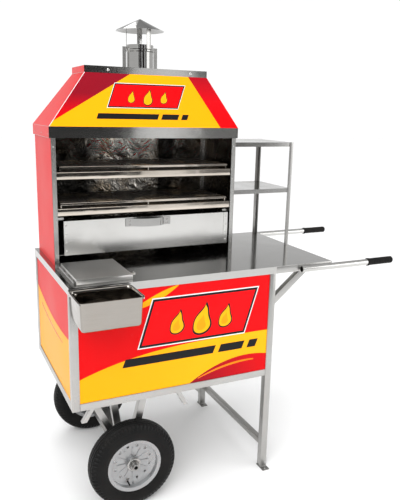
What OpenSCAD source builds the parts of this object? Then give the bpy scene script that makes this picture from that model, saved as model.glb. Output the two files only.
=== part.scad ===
// Push vending cart: a steel-tube cabinet on two wheels and two legs, with a
// three-level roasting cabinet, hood and chimney on its worktop, a side rack
// and two push handles. Millimetres, +Z up, front at -Y, handles at +X.

/* [Cabinet] */
// Width of the lower cabinet
cab_w = 890; // [860:5:940]
// Depth of the lower cabinet
cab_d = 680; // [660:5:740]
// Height of the worktop above the floor
top_z = 960; // [940:5:1000]
// Height of the folded edge round the worktop
lip_h = 30; // [20:1:32]
// Thickness of the sheet metal
sheet = 1.5; // [1:0.1:2]
// Length of the worktop extension beyond the cabinet
ext_l = 290; // [270:5:340]

/* [Frame] */
// Side of the square frame tube
tube = 30; // [25:1:30]
// Wall of the square frame tube
wall = 1.5; // [1.2:0.1:2.5]
// Height of the underside of the cabinet
rail_z = 462; // [440:2:470]
// Length of the two foot plates
foot_l = 60; // [56:2:70]
// Thickness of the two foot plates
foot_t = 4; // [3:1:6]
// Radius of the hole in each foot plate
foot_hole_r = 4.5; // [3:0.5:5]

/* [Handles] */
// Radius of the round handle tube
handle_r = 14; // [12:0.5:15]
// Radius of the rubber grip
grip_r = 16; // [15.5:0.1:17]
// Length of the rubber grip
grip_l = 145; // [120:5:150]
// Start of both handle tubes from the cabinet's left face
handle_x = 1010; // [1000:5:1040]
// End of the front grip from the cabinet's left face
front_end_x = 1515; // [1450:5:1560]
// End of the rear grip from the cabinet's left face
rear_end_x = 1657; // [1600:1:1700]

/* [Wheels] */
// Outer radius of the tyre
tyre_r = 184; // [180:1:190]
// Width of the tyre
tyre_w = 86; // [80:1:90]
// Radius of the rim's lip
rim_r = 112; // [108:1:116]
// Distance of the axle from the cabinet's left face
axle_x = 243; // [235:1:250]
// Radius of the axle
axle_r = 12.5; // [10:0.5:14]
// Number of round holes in the rim disc
rim_holes = 12; // [6:1:16]

/* [Roaster] */
// Left face of the roasting cabinet
ro_x = 18; // [14:1:24]
// Width of the roasting cabinet
ro_w = 832; // [800:2:840]
// Front face of the roasting cabinet
ro_y = 330; // [325:1:340]
// Depth of the roasting cabinet
ro_d = 335; // [320:5:340]
// Height of the band above the openings
band_h = 45; // [35:1:50]
// Top of the band
band_z = 1527; // [1510:1:1560]
// Top of the hood
hood_z = 1766; // [1740:1:1800]
// Height of the straight part on top of the hood
cap_h = 27; // [20:1:34]
// Level of the lower grate's front edge
lower_z = 1195; // [1190:1:1200]
// Level of the upper grate's front edge
upper_z = 1344; // [1335:1:1350]
// Width of one diamond opening in the grates
mesh_w = 44; // [40:1:60]

/* [Drawer] */
// Underside of the drawer
drawer_z = 1000; // [995:1:1005]
// Height of the drawer's front
drawer_h = 145; // [140:1:150]
// Height of the drawer's box
drawer_box_h = 100; // [80:2:110]

/* [Chimney] */
// Radius of the chimney pipe
pipe_r = 57.5; // [50:0.5:60]
// Top of the chimney pipe
pipe_z = 1864; // [1856:1:1875]
// Radius of the rain cap
cap_r = 105; // [95:1:110]
// Level of the rain cap's edge
cap_z = 1921; // [1910:1:1930]
// Height of the rain cap
cap_rise = 48; // [40:1:56]

/* [Rack] */
// Side of the rack's angle iron
angle_w = 20; // [18:1:22]
// Level of the top shelf
shelf_top_z = 1462; // [1440:1:1480]
// Level of the middle shelf
shelf_mid_z = 1242; // [1230:1:1260]

/* [Pan and well] */
// Length of the hanging pan
pan_w = 244; // [230:1:265]
// Width of the hanging pan
pan_d = 162; // [158:1:166]
// Depth of the hanging pan
pan_h = 112; // [95:1:120]
// Depth of the well in the worktop
well_h = 150; // [100:5:180]
// Height of the lid over the well
lid_h = 20; // [16:1:24]

/* [Hidden] */

gap = 0.5;                        // clearance between pieces that move
leg_x = cab_w - tube;             // left face of the right legs
back_y = cab_d - tube;            // front face of the rear posts
under_top = top_z - sheet;        // underside of the worktop sheet
floor_z = rail_z + tube;          // top of the bottom rails
panel_h = under_top - tube - floor_z;
panel_in = 4;                     // how far the panels sit inside the frame
right_x = cab_w + ext_l;          // right edge of the extension
wheel_out = 13;                   // wheel centre inside the cabinet's face
axle_end = 50;                    // axle end from the wheel centre
beam_in = 51;                     // beam end from the wheel centre
beam_h = 40;
beam_w = 60;
pan_x = -6;
pan_gap = 3;                      // pan rim to the cabinet face
pan_y = -pan_gap - pan_d;
pan_rim_z = top_z - 9;
rim_flange = 10;
hanger_t = 1;                     // hanger strip, thinner than the gap to the pan's rim
strut_top_z = rail_z;
strut_bot_z = tyre_r + beam_h / 2;
inner_x = ro_x + sheet;           // inside faces of the roasting cabinet
inner_r = ro_x + ro_w - sheet;
upright = 18;
slide_x = inner_x + upright + 1.5;
slide_w = ro_w - 2 * (slide_x - ro_x);
flange_h = 29;
flange_y = ro_y + 4;
grate_d = 318;
mesh_gap = 22;                    // upper sheet above the lower sheet of a grate
joint = 0.02;                     // hair gap between the welded pieces of a grate
drawer_x = 61;
drawer_w = 761;
cap_x = 434;                      // chimney axis
cap_y = 450;
hood_x0 = 164;
hood_x1 = 704;
hood_y0 = 348;
hood_y1 = 551;
band_out = 6;
strap_angles = [-70, 72, 158];
bead_z = 1841;
rack_y0 = ro_y + 20;
rack_y1 = ro_y + ro_d;
lid_x = 35;
lid_w = 220;
lid_y = 30;
lid_d = 265;
hinge_x = lid_x - 6;
hinge_z = top_z + 5.5;
knuckle_r = 4;
door_x = 19;
door_w = cab_w - 2 * door_x;
door_z = floor_z + 3;
door_h = panel_h - 6;
door_y = cab_d + 2;
door_t = 16;
door_pin_x = 11;
door_pin_y = cab_d + 8;
door_knuckle_r = 5;
door_pin_r = 2;
hinge_h = 70;
hinge_zs = [door_z + 50, door_z + door_h - 50 - hinge_h];

x_max = rear_end_x;
y_max = cab_d - wheel_out + axle_end;
shift = [-(pan_x + x_max) / 2, -(pan_y + y_max) / 2, 0];

module cart() {
    translate(shift) children();
}

// Square tube along X, Y or Z from its low corner, open at both ends.
module tube_x(p, l, s = tube) {
    translate(p) difference() {
        cube([l, s, s]);
        translate([-1, wall, wall]) cube([l + 2, s - 2 * wall, s - 2 * wall]);
    }
}

module tube_y(p, l, s = tube) {
    translate(p) difference() {
        cube([s, l, s]);
        translate([wall, -1, wall]) cube([s - 2 * wall, l + 2, s - 2 * wall]);
    }
}

module tube_z(p, l, s = tube) {
    translate(p) difference() {
        cube([s, s, l]);
        translate([wall, wall, -1]) cube([s - 2 * wall, s - 2 * wall, l + 2]);
    }
}

// Slanted tube in an XZ plane, level ends, between two level edges.
module slant(xb, zb, xt, zt, w, y, s) {
    ex = (xt - xb) / (zt - zb);
    translate([0, y + s, 0]) rotate([90, 0, 0]) difference() {
        linear_extrude(s) polygon([[xb, zb], [xb + w, zb], [xt + w, zt], [xt, zt]]);
        translate([0, 0, wall]) linear_extrude(s - 2 * wall) polygon([
            [xb + wall - ex, zb - 1], [xb + w - wall - ex, zb - 1],
            [xt + w - wall + ex, zt + 1], [xt + wall + ex, zt + 1]]);
    }
}

// Ring or disc with its axis along Z.
module ring(r, r_in, h) {
    difference() {
        cylinder(r = r, h = h, $fn = 96);
        translate([0, 0, -1]) cylinder(r = r_in, h = h + 2, $fn = 96);
    }
}

// Flat plate with rounded corners.
module round_plate(w, d, r, h) {
    linear_extrude(h) union() {
        translate([r, 0]) square([w - 2 * r, d]);
        translate([0, r]) square([w, d - 2 * r]);
        for (x = [r, w - r], y = [r, d - r]) translate([x, y]) circle(r = r, $fn = 48);
    }
}

module left_posts() {
    color([0.72, 0.71, 0.69]) cart() for (y = [0, back_y])
        tube_z([0, y, rail_z], under_top - rail_z);
}

module right_legs() {
    color([0.72, 0.71, 0.69]) cart() for (y = [0, back_y])
        tube_z([leg_x, y, foot_t], under_top - foot_t);
}

module foot_plates() {
    color([0.60, 0.59, 0.57]) cart() for (y = [0, back_y]) difference() {
        translate([leg_x - 2, y + tube + 3 - foot_l, 0]) cube([tube + 4, foot_l, foot_t]);
        translate([leg_x + tube / 2, y + tube - foot_l + 16, -1])
            cylinder(r = foot_hole_r, h = foot_t + 2, $fn = 48);
    }
}

module bottom_rails() {
    color([0.72, 0.71, 0.69]) cart() {
        for (y = [0, back_y]) tube_x([tube, y, rail_z], leg_x - tube);
        for (x = [0, leg_x]) tube_y([x, tube, rail_z], back_y - tube);
    }
}

module cross_rails() {
    color([0.72, 0.71, 0.69]) cart() for (x = [81, 175, 303])
        tube_y([x, tube, rail_z], back_y - tube);
}

module top_rails() {
    color([0.72, 0.71, 0.69]) cart() {
        for (y = [0, back_y]) tube_x([tube, y, under_top - tube], leg_x - tube);
        for (x = [0, leg_x]) tube_y([x, tube, under_top - tube], back_y - tube);
    }
}

module extension_arms() {
    color([0.72, 0.71, 0.69]) cart() {
        for (y = [0, back_y]) tube_x([cab_w, y, under_top - tube], ext_l - sheet);
        tube_y([right_x - sheet - tube, tube, under_top - tube], back_y - tube);
    }
}

module leg_tie_bar() {
    color([0.72, 0.71, 0.69]) cart() tube_y([leg_x + 2.5, tube, 108], back_y - tube, 25);
}

module rear_brace() {
    color([0.72, 0.71, 0.69]) cart() translate([0, back_y + 27, 0]) rotate([90, 0, 0])
        difference() {
            linear_extrude(25) polygon([[leg_x, 66], [leg_x, 101], [leg_x - 361, rail_z],
                [leg_x - 396, rail_z]]);
            translate([0, 0, wall]) linear_extrude(25 - 2 * wall) polygon([[leg_x + 1, 68],
                [leg_x + 1, 97], [leg_x - 364, rail_z + 1], [leg_x - 393, rail_z + 1]]);
        }
}

module axle_struts() {
    color([0.66, 0.65, 0.63]) cart()
        for (side = [[64, 110], [cab_d - 94, cab_d - 140]]) {
            slant(axle_x - 30, strut_bot_z, 81, strut_top_z, tube, side[0], tube);
            slant(axle_x, strut_bot_z, 303, strut_top_z, tube, side[0], tube);
            slant(axle_x - 28, strut_bot_z, 175, strut_top_z, tube, side[1], tube);
        }
}

module axle_beam() {
    y0 = wheel_out + beam_in;
    l = cab_d - 2 * y0;
    color([0.60, 0.59, 0.57]) cart() translate([axle_x - beam_w / 2, y0, tyre_r - beam_h / 2])
        difference() {
            cube([beam_w, l, beam_h]);
            translate([3, 4, 3]) cube([beam_w - 6, l - 8, beam_h - 6]);
        }
}

module stub_axles() {
    l = beam_in + axle_end;
    color([0.55, 0.54, 0.52]) cart() for (y = [wheel_out + beam_in, y_max])
        translate([axle_x, y, tyre_r]) rotate([90, 0, 0]) ring(axle_r, 8, l);
}

module axle_collars() {
    color([0.55, 0.54, 0.52]) cart() {
        for (side = [0, 1]) translate([axle_x, side == 0 ? wheel_out : cab_d - wheel_out, tyre_r])
            rotate([side == 0 ? 90 : -90, 0, 0]) {
                translate([0, 0, -beam_in]) ring(20, axle_r, beam_in - 30 - gap);
                translate([0, 0, 24 + gap]) ring(19, axle_r, 3);
                translate([0, 0, 27 + gap]) ring(17, axle_r, 10);
            }
    }
}

module frame_stubs() {
    s = 20;
    color([0.66, 0.65, 0.63]) cart() {
        slant(36, 406, 70, rail_z, s, 5, s);
        slant(468, 400, 434, rail_z, s, 5, s);
    }
}

// A tube and its grip lie along X; the tube stops short of the grip's end.
module handle_tubes() {
    color([0.74, 0.73, 0.71]) cart()
        for (h = [[-handle_r, front_end_x], [cab_d + handle_r, rear_end_x]])
            translate([handle_x, h[0], under_top - tube / 2 - 2.5]) rotate([0, 90, 0])
                ring(handle_r, handle_r - 2, h[1] - 4 - handle_x);
}

module handle_grips() {
    ribs = 12;
    pitch = (grip_l - 30) / ribs;
    color([0.07, 0.07, 0.07]) cart()
        for (h = [[-handle_r, front_end_x], [cab_d + handle_r, rear_end_x]])
            translate([h[1] - grip_l, h[0], under_top - tube / 2 - 2.5]) rotate([0, 90, 0])
                rotate_extrude($fn = 96) polygon(concat(
                    [[handle_r, 0], [grip_r + 1.5, 0], [grip_r + 1.5, 8]],
                    [for (i = [0:ribs - 1], p = [[-1, 0.12], [0, 0.3], [0, 0.75], [-1, 0.93]])
                        [grip_r + p[0], 10 + (i + p[1]) * pitch]],
                    [[grip_r, grip_l - 16], [grip_r, grip_l - 5], [grip_r - 4, grip_l],
                        [0, grip_l], [0, grip_l - 4], [handle_r, grip_l - 4]]));
}

module handle_braces() {
    z0 = under_top - tube - 138.5;
    h = tube - 5;
    color([0.72, 0.71, 0.69]) cart() for (y = [2.5, back_y + 2.5])
        translate([0, y + h, 0]) rotate([90, 0, 0]) difference() {
            linear_extrude(h) polygon([[cab_w, z0], [cab_w, z0 + 37],
                [cab_w + 119, z0 + 138.5], [cab_w + 163, z0 + 138.5]]);
            translate([0, 0, wall]) linear_extrude(h - 2 * wall) polygon([
                [cab_w - 1, z0 + 1.5], [cab_w - 1, z0 + 33.8],
                [cab_w + 122, z0 + 139.5], [cab_w + 160, z0 + 139.5]]);
        }
}

module worktop() {
    color([0.75, 0.74, 0.72]) cart() difference() {
        translate([-sheet, -sheet, top_z - lip_h])
            cube([cab_w + sheet, cab_d + 2 * sheet, lip_h]);
        translate([0, 0, top_z - lip_h - 1]) cube([cab_w + 1, cab_d, lip_h + 1 - sheet]);
        translate([lid_x + 10, lid_y + 10, under_top - 1])
            cube([lid_w - 20, lid_d - 20, sheet + 2]);
    }
}

module worktop_extension() {
    color([0.75, 0.74, 0.72]) cart() {
        translate([cab_w, 0, under_top]) cube([ext_l, cab_d, sheet]);
        translate([right_x - sheet, 0, top_z - 20]) cube([sheet, cab_d, 20 - sheet]);
    }
}

module front_panel() {
    color([0.86, 0.16, 0.16]) cart() translate([tube, panel_in, floor_z])
        cube([leg_x - tube, sheet, panel_h]);
}

module left_panel() {
    color([0.86, 0.16, 0.16]) cart() translate([panel_in, tube, floor_z])
        cube([sheet, back_y - tube, panel_h]);
}

module right_panel() {
    color([0.75, 0.74, 0.72]) cart() translate([cab_w - panel_in - sheet, tube, floor_z])
        cube([sheet, back_y - tube, panel_h]);
}

module cabinet_floor() {
    e = panel_in + sheet;
    color([0.70, 0.69, 0.67]) cart() difference() {
        translate([e, e, floor_z]) cube([cab_w - 2 * e, cab_d - 2 * e, sheet]);
        for (x = [-1, leg_x], y = [-1, back_y])
            translate([x, y, floor_z - 1]) cube([tube + 1, tube + 1, sheet + 2]);
    }
}

module well_box() {
    w = lid_w - 24;
    d = lid_d - 24;
    color([0.70, 0.69, 0.67]) cart() difference() {
        union() {
            translate([lid_x + 12, lid_y + 12, under_top - well_h]) cube([w, d, well_h]);
            translate([lid_x + 2, lid_y + 2, under_top - sheet])
                cube([lid_w - 4, lid_d - 4, sheet]);
        }
        translate([lid_x + 12 + sheet, lid_y + 12 + sheet, under_top - well_h + sheet])
            cube([w - 2 * sheet, d - 2 * sheet, well_h]);
    }
}

// Lid hinge: flat fixed leaf, a pin, and moving knuckles on the lid.
module lid_hinge_leaf() {
    color([0.62, 0.61, 0.59]) cart() for (i = [0:2])
        translate([0, lid_y + 5 + i * 85, 0]) {
            translate([hinge_x - 14, 0, top_z]) cube([14, 84, 1]);
            translate([hinge_x, 40, hinge_z]) rotate([90, 0, 0]) ring(knuckle_r, 1.5, 40);
            translate([hinge_x - 2, 0, top_z]) cube([2, 40, 3]);
        }
}

module lid_hinge_pin() {
    color([0.62, 0.61, 0.59]) cart() translate([hinge_x, lid_y + lid_d - 6, hinge_z])
        rotate([90, 0, 0]) cylinder(r = 1.5, h = lid_d - 11, $fn = 32);
}

module lid_hinge_knuckles() {
    color([0.62, 0.61, 0.59]) cart() for (i = [0:2])
        translate([0, lid_y + 5 + i * 85 + 40 + gap, 0]) {
            translate([hinge_x, 43, hinge_z]) rotate([90, 0, 0]) ring(knuckle_r, 1.55, 43);
            translate([hinge_x + knuckle_r - 1, 0, hinge_z - 2])
                cube([lid_x - hinge_x - knuckle_r + 1, 43, 4]);
        }
}

module well_lid() {
    color([0.75, 0.74, 0.72]) cart() {
        difference() {
            translate([lid_x, lid_y, top_z + gap]) cube([lid_w, lid_d, lid_h]);
            translate([lid_x + sheet, lid_y + sheet, top_z])
                cube([lid_w - 2 * sheet, lid_d - 2 * sheet, lid_h + gap - sheet]);
        }
        translate([lid_x + lid_w, lid_y, top_z + gap + lid_h - sheet]) cube([10, 26, sheet]);
        translate([lid_x + lid_w + 10 - sheet, lid_y, top_z + gap + lid_h])
            cube([sheet, 26, 6]);
    }
}

// Strip on the worktop's edge with two arms under the pan's side flanges.
module pan_hanger() {
    color([0.70, 0.69, 0.67]) cart() {
        translate([pan_x + 2, -sheet - hanger_t, pan_rim_z - 22]) cube([pan_w - 4, hanger_t, 28]);
        for (x = [pan_x + 2, pan_x + pan_w - 6])
            translate([x, pan_y + 12, pan_rim_z - 1 - gap - 10])
                cube([4, pan_d - 12 + pan_gap - sheet - hanger_t, 10]);
    }
}

module front_pan() {
    r = 22;
    color([0.75, 0.74, 0.72]) cart() difference() {
        union() {
            translate([pan_x, pan_y, pan_rim_z - 1]) round_plate(pan_w, pan_d, r, 1);
            translate([pan_x + rim_flange, pan_y + rim_flange, pan_rim_z - pan_h])
                round_plate(pan_w - 2 * rim_flange, pan_d - 2 * rim_flange, r - 6, pan_h);
        }
        translate([pan_x + rim_flange + 1, pan_y + rim_flange + 1, pan_rim_z - pan_h + 1])
            round_plate(pan_w - 2 * rim_flange - 2, pan_d - 2 * rim_flange - 2, r - 7, pan_h);
    }
}

module door_hinge_leaves() {
    color([0.62, 0.61, 0.59]) cart() for (z = hinge_zs) translate([0, 0, z]) {
        difference() {
            union() {
                translate([0, cab_d, 0]) cube([door_pin_x, 2.5, hinge_h]);
                for (k = [0, hinge_h * 2 / 3]) translate([door_pin_x, door_pin_y, k]) {
                    cylinder(r = door_knuckle_r, h = hinge_h / 3 - gap, $fn = 48);
                    translate([-3, -door_knuckle_r - 0.99, 0]) cube([3, 3, hinge_h / 3 - gap]);
                }
            }
            translate([door_pin_x, door_pin_y, -1])
                cylinder(r = door_pin_r, h = hinge_h + 2, $fn = 48);
        }
    }
}

module door_hinge_pins() {
    color([0.50, 0.49, 0.47]) cart() for (z = hinge_zs)
        translate([door_pin_x, door_pin_y, z]) cylinder(r = door_pin_r, h = hinge_h - gap, $fn = 48);
}

module door_hinge_knuckles() {
    h = hinge_h / 3 - gap;
    color([0.62, 0.61, 0.59]) cart() for (z = hinge_zs)
        translate([door_pin_x, door_pin_y, z + hinge_h / 3]) difference() {
            union() {
                cylinder(r = door_knuckle_r, h = h, $fn = 48);
                translate([0, 2, 0]) cube([door_x - door_pin_x, 3, h]);
            }
            translate([0, 0, -1]) cylinder(r = door_pin_r + 0.05, h = h + 2, $fn = 48);
        }
}

module rear_door() {
    color([0.75, 0.74, 0.72]) cart() difference() {
        translate([door_x, door_y, door_z]) cube([door_w, door_t, door_h]);
        translate([door_x + sheet, door_y - 1, door_z + sheet])
            cube([door_w - 2 * sheet, door_t + 1 - sheet, door_h - 2 * sheet]);
    }
}

module door_pull() {
    color([0.72, 0.71, 0.69]) cart()
        translate([door_x + door_w - 60, door_y + door_t, door_z + door_h / 2 - 60]) {
            for (z = [0, 112]) translate([0, 0, z]) cube([10, 6, 8]);
            translate([0, 6, 0]) cube([10, 3, 120]);
        }
}

module roaster_left_side() {
    color([0.86, 0.16, 0.16]) cart() translate([ro_x, ro_y, top_z])
        cube([sheet, ro_d, band_z - band_h - top_z]);
}

module roaster_right_side() {
    color([0.70, 0.69, 0.67]) cart() translate([inner_r, ro_y, top_z])
        cube([sheet, ro_d, band_z - band_h - top_z]);
}

module roaster_back() {
    color([0.60, 0.58, 0.55]) cart() translate([inner_x, ro_y + ro_d - sheet, top_z])
        cube([ro_w - 2 * sheet, sheet, band_z - band_h - top_z]);
}

// Angle posts at the four corners of the roasting cabinet, open to the inside.
module roaster_uprights() {
    h = band_z - band_h - top_z;
    y1 = ro_y + ro_d - sheet;
    color([0.72, 0.71, 0.69]) cart() translate([0, 0, top_z]) {
        for (x = [inner_x, inner_r - upright]) {
            translate([x, ro_y, 0]) cube([upright, 2, h]);
            translate([x, y1 - 2, 0]) cube([upright, 2, h]);
        }
        for (x = [inner_x, inner_r - 2]) {
            translate([x, ro_y + 2, 0]) cube([2, upright - 2, h]);
            translate([x, y1 - upright, 0]) cube([2, upright - 2, h]);
        }
    }
}

// Folded band: outer wall with a lower and an upper edge turned inwards.
module fascia_band() {
    w = ro_w + 2 * band_out;
    d = ro_d + 2 * band_out;
    color([0.74, 0.73, 0.71]) cart() translate([ro_x - band_out, ro_y - band_out, band_z - band_h])
        difference() {
            cube([w, d, band_h]);
            translate([sheet, sheet, sheet]) cube([w - 2 * sheet, d - 2 * sheet, band_h - 2 * sheet]);
            translate([upright, upright, -1]) cube([w - 2 * upright, d - 2 * upright, band_h + 2]);
        }
}

// A frustum with a rectangular base: two prisms crossed at right angles.
module frustum(e, z_over) {
    x0 = ro_x - band_out + e;
    x1 = ro_x + ro_w + band_out - e;
    y0 = ro_y - band_out + e;
    y1 = ro_y + ro_d + band_out - e;
    zb = band_z - z_over;
    zt = hood_z - cap_h + z_over;
    intersection() {
        translate([0, cab_d, 0]) rotate([90, 0, 0]) linear_extrude(cab_d)
            polygon([[x0, zb], [x1, zb], [hood_x1 - e, zt], [hood_x0 + e, zt]]);
        rotate([90, 0, 90]) linear_extrude(cab_w)
            polygon([[y0, zb], [y1, zb], [hood_y1 - e, zt], [hood_y0 + e, zt]]);
    }
}

module hood_shell() {
    color([0.93, 0.63, 0.12]) cart() difference() {
        frustum(0, 0);
        frustum(sheet, 0.001);
    }
}

module hood_cap() {
    color([0.86, 0.16, 0.16]) cart() difference() {
        translate([hood_x0, hood_y0, hood_z - cap_h])
            cube([hood_x1 - hood_x0, hood_y1 - hood_y0, cap_h]);
        translate([hood_x0 + sheet, hood_y0 + sheet, hood_z - cap_h - 1])
            cube([hood_x1 - hood_x0 - 2 * sheet, hood_y1 - hood_y0 - 2 * sheet, cap_h + 1 - sheet]);
        translate([cap_x, cap_y, hood_z - 5]) cylinder(r = pipe_r, h = 10, $fn = 96);
    }
}

module dome_screws() {
    at = [[262, hood_y0, hood_z - 14], [626, hood_y0, hood_z - 14],
        [pan_x + 34, -sheet - hanger_t, top_z - 22],
        [pan_x + pan_w - 34, -sheet - hanger_t, top_z - 22]];
    color([0.66, 0.65, 0.63]) cart() for (p = at)
        translate(p) rotate([90, 0, 0]) rotate_extrude($fn = 48)
            polygon([[0, 0], [6, 0], [6, 1.2], [4.6, 2.8], [2.4, 3.7], [0, 4]]);
}

module chimney_pipe() {
    color([0.74, 0.73, 0.71]) cart() translate([cap_x, cap_y, 0]) rotate_extrude($fn = 96)
        polygon([[pipe_r - sheet, hood_z - sheet], [pipe_r, hood_z - sheet],
            [pipe_r, bead_z - 6], [pipe_r + 3, bead_z - 3], [pipe_r + 3, bead_z + 3],
            [pipe_r, bead_z + 6], [pipe_r, pipe_z], [pipe_r - sheet, pipe_z]]);
}

// Flat bars beside the pipe, footed on the hood and bolted to the pipe.
module chimney_brackets() {
    top = bead_z + 15;
    z1 = top - 8;
    color([0.68, 0.67, 0.65]) cart() for (s = [-1, 1]) translate([cap_x, cap_y, 0]) {
        translate([s > 0 ? 63 : -78, -1.5, hood_z]) cube([15, 3, top - hood_z]);
        translate([s > 0 ? 63 : -78, -16.5, hood_z]) cube([15, 15, 2]);
        translate([s > 0 ? 57 : -63, -2.5, z1]) difference() {
            cube([6, 5, 8]);
            translate([s > 0 ? -57 : 63, 2.5, -1]) cylinder(r = pipe_r, h = 10, $fn = 96);
        }
    }
}

module cap_straps() {
    z0 = bead_z + 6;
    r = pipe_r + 0.02;
    color([0.70, 0.69, 0.67]) cart() translate([cap_x, cap_y, 0]) for (a = strap_angles)
        rotate([0, 0, a]) {
            translate([0, 0, z0]) rotate([0, 0, -11]) rotate_extrude(angle = 22, $fn = 96)
                translate([r, 0]) square([1.5, cap_z + 19 - z0]);
        }
}

// Creased cone of flat sectors.
module chimney_cap() {
    color([0.76, 0.75, 0.73]) cart() translate([cap_x, cap_y, cap_z]) difference() {
        cylinder(r1 = cap_r, r2 = 3, h = cap_rise, $fn = 12);
        translate([0, 0, -1.6]) cylinder(r1 = cap_r, r2 = 3, h = cap_rise, $fn = 12);
    }
}

// Sheet with rows of diamond openings inside a plain border.
module mesh_sheet(w, d) {
    border = 12;
    nx = floor((w - 2 * border) / mesh_w);
    ny = floor((d - 2 * border) / (mesh_w / 1.6));
    px = (w - 2 * border) / nx;
    py = (d - 2 * border) / ny;
    linear_extrude(2) difference() {
        square([w, d]);
        for (i = [0:nx - 1], j = [0:ny - 1]) if ((i + j) % 2 == 0)
            translate([border + (i + 0.5) * px, border + (j + 0.5) * py])
                polygon([[-px + 4, 0], [0, -py + 3], [px - 4, 0], [0, py - 3]]);
    }
}

// Drawn-out grate: two open sheets joined by strips, with a deep front edge.
module grate(z) {
    w = slide_w;
    color([0.40, 0.39, 0.37]) cart() translate([slide_x, flange_y, z]) {
        translate([0, 0, -flange_h]) cube([w, 2, flange_h]);
        translate([0, 2, -flange_h]) cube([w, 10, 1.5]);
        translate([0, 2 + joint, -2]) mesh_sheet(w, grate_d - 2 - joint);
        for (x = [16, w / 2, w - 19])
            translate([x, 12, joint]) cube([3, grate_d - 24, mesh_gap - 2 * joint]);
        translate([14, 8, mesh_gap]) mesh_sheet(w - 28, grate_d - 16);
        for (y = [8, grate_d - 9.5])
            translate([14, y, mesh_gap - 9 - joint]) cube([w - 28, 1.5, 9]);
    }
}

module upper_grate() {
    grate(upper_z);
}

module lower_grate() {
    grate(lower_z);
}

// Ledges for the grates and the drawer, and the small stops over the drawer.
module runners() {
    ledges = [upper_z - 2, lower_z - 2, drawer_z];
    y0 = ro_y + 20;
    color([0.55, 0.54, 0.52]) cart() {
        for (z = ledges) {
            reach = z == drawer_z ? 60 : 32;
            for (x = [inner_x, inner_r - reach])
                translate([x, y0, z - gap - 2]) cube([reach, ro_d - 40, 2]);
        }
        for (x = [inner_x, inner_r - 46]) {
            translate([x, y0, drawer_z + drawer_h + 3]) cube([46, 24, 2]);
            translate([x, y0, drawer_z + drawer_h + 5]) cube([46, 2, 8]);
        }
    }
}

module drawer_box() {
    w = drawer_w - 20;
    d = 308;
    color([0.66, 0.65, 0.63]) cart() translate([drawer_x + 10, flange_y + 2, drawer_z])
        difference() {
            cube([w, d, drawer_box_h]);
            translate([sheet, sheet, sheet])
                cube([w - 2 * sheet, d - 2 * sheet, drawer_box_h]);
        }
}

// Front sheet with a doubled, riveted strip at each end.
module drawer_front() {
    color([0.75, 0.74, 0.72]) cart() translate([drawer_x, flange_y, drawer_z]) {
        cube([drawer_w, 2, drawer_h]);
        for (x = [0, drawer_w - 20]) {
            translate([x, -2, 0]) cube([20, 2, drawer_h]);
            for (k = [0:3]) translate([x + 10, -2, 18 + k * (drawer_h - 36) / 3])
                rotate([90, 0, 0]) rotate_extrude($fn = 32)
                    polygon([[0, 0], [3.5, 0], [3.2, 1], [2, 1.8], [0, 2.1]]);
        }
    }
}

// Strap handle: flat ends, middle bowed out along a raised cosine.
module drawer_handle() {
    l = 206;
    pad = 34;
    bow = 24;
    t = 2.5;
    steps = 20;
    mid = l - 2 * pad;
    function wave(u) = bow * pow(sin(180 * u), 0.55);
    front = [for (i = [0:steps]) [pad + mid * i / steps, -t - wave(i / steps)]];
    rear = [for (i = [steps:-1:0]) [pad + t / 2 + (mid - t) * i / steps, -wave(i / steps)]];
    color([0.75, 0.74, 0.72]) cart() translate([327, flange_y, drawer_z + 107]) {
        linear_extrude(34) polygon(concat([[0, 0], [0, -t]], front, [[l, -t], [l, 0]], rear));
        for (x = [pad / 2, l - pad / 2], z = [9, 25]) translate([x, -t, z]) rotate([90, 0, 0])
            cylinder(r = 3.5, h = 1.5, $fn = 32);
    }
}

module rack_posts() {
    t = 2.5;
    h = shelf_top_z - top_z;
    color([0.62, 0.61, 0.59]) cart() translate([right_x - 3 - angle_w, 0, top_z]) {
        translate([0, rack_y0, 0]) cube([angle_w, t, h]);
        translate([angle_w - t, rack_y0 + t, 0]) cube([t, angle_w - t, h]);
        translate([0, rack_y1 - t, 0]) cube([angle_w, t, h]);
        translate([angle_w - t, rack_y1 - angle_w, 0]) cube([t, angle_w - t, h]);
    }
}

// Two sheet shelves with turned-down edges, notched round the posts.
module rack_shelves() {
    x1 = right_x - 3;
    x0 = ro_x + ro_w;
    t = 2.5;
    color([0.68, 0.67, 0.65]) cart() for (z = [shelf_mid_z, shelf_top_z]) difference() {
        translate([x0, rack_y0 + t, z - angle_w]) cube([x1 - x0 - t, rack_y1 - rack_y0 - 2 * t, angle_w]);
        translate([x0 - 1, rack_y0 + 2 * t, z - angle_w - 1])
            cube([x1 - x0 - 2 * t + 1, rack_y1 - rack_y0 - 4 * t, angle_w + 1 - sheet]);
    }
}

// Tyre cross-section with four grooves, hollow inside, turned about the axle.
module tyre() {
    w = tyre_w / 2;
    r = tyre_r;
    b = rim_r - 10;
    g = [-24, -8, 8, 24];
    color([0.08, 0.08, 0.08]) rotate_extrude($fn = 128) difference() {
        polygon(concat([[b, -33], [rim_r + 2, -36], [r - 42, -w], [r - 20, -w + 1.5],
                [r - 6, -w + 7]],
            [for (c = g, p = [[0, -3.5], [-4, -2], [-4, 2], [0, 3.5]])
                [r + p[0] - (abs(c) > 20 ? 2.5 : 0), c + p[1]]],
            [[r - 6, w - 7], [r - 20, w - 1.5], [r - 42, w], [rim_r + 2, 36], [b, 33]]));
        polygon([[b - 1, -26], [r - 44, -w + 9], [r - 22, -w + 11], [r - 14, -w + 18],
            [r - 14, w - 18], [r - 22, w - 11], [r - 44, w - 9], [b - 1, 26]]);
    }
}

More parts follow.
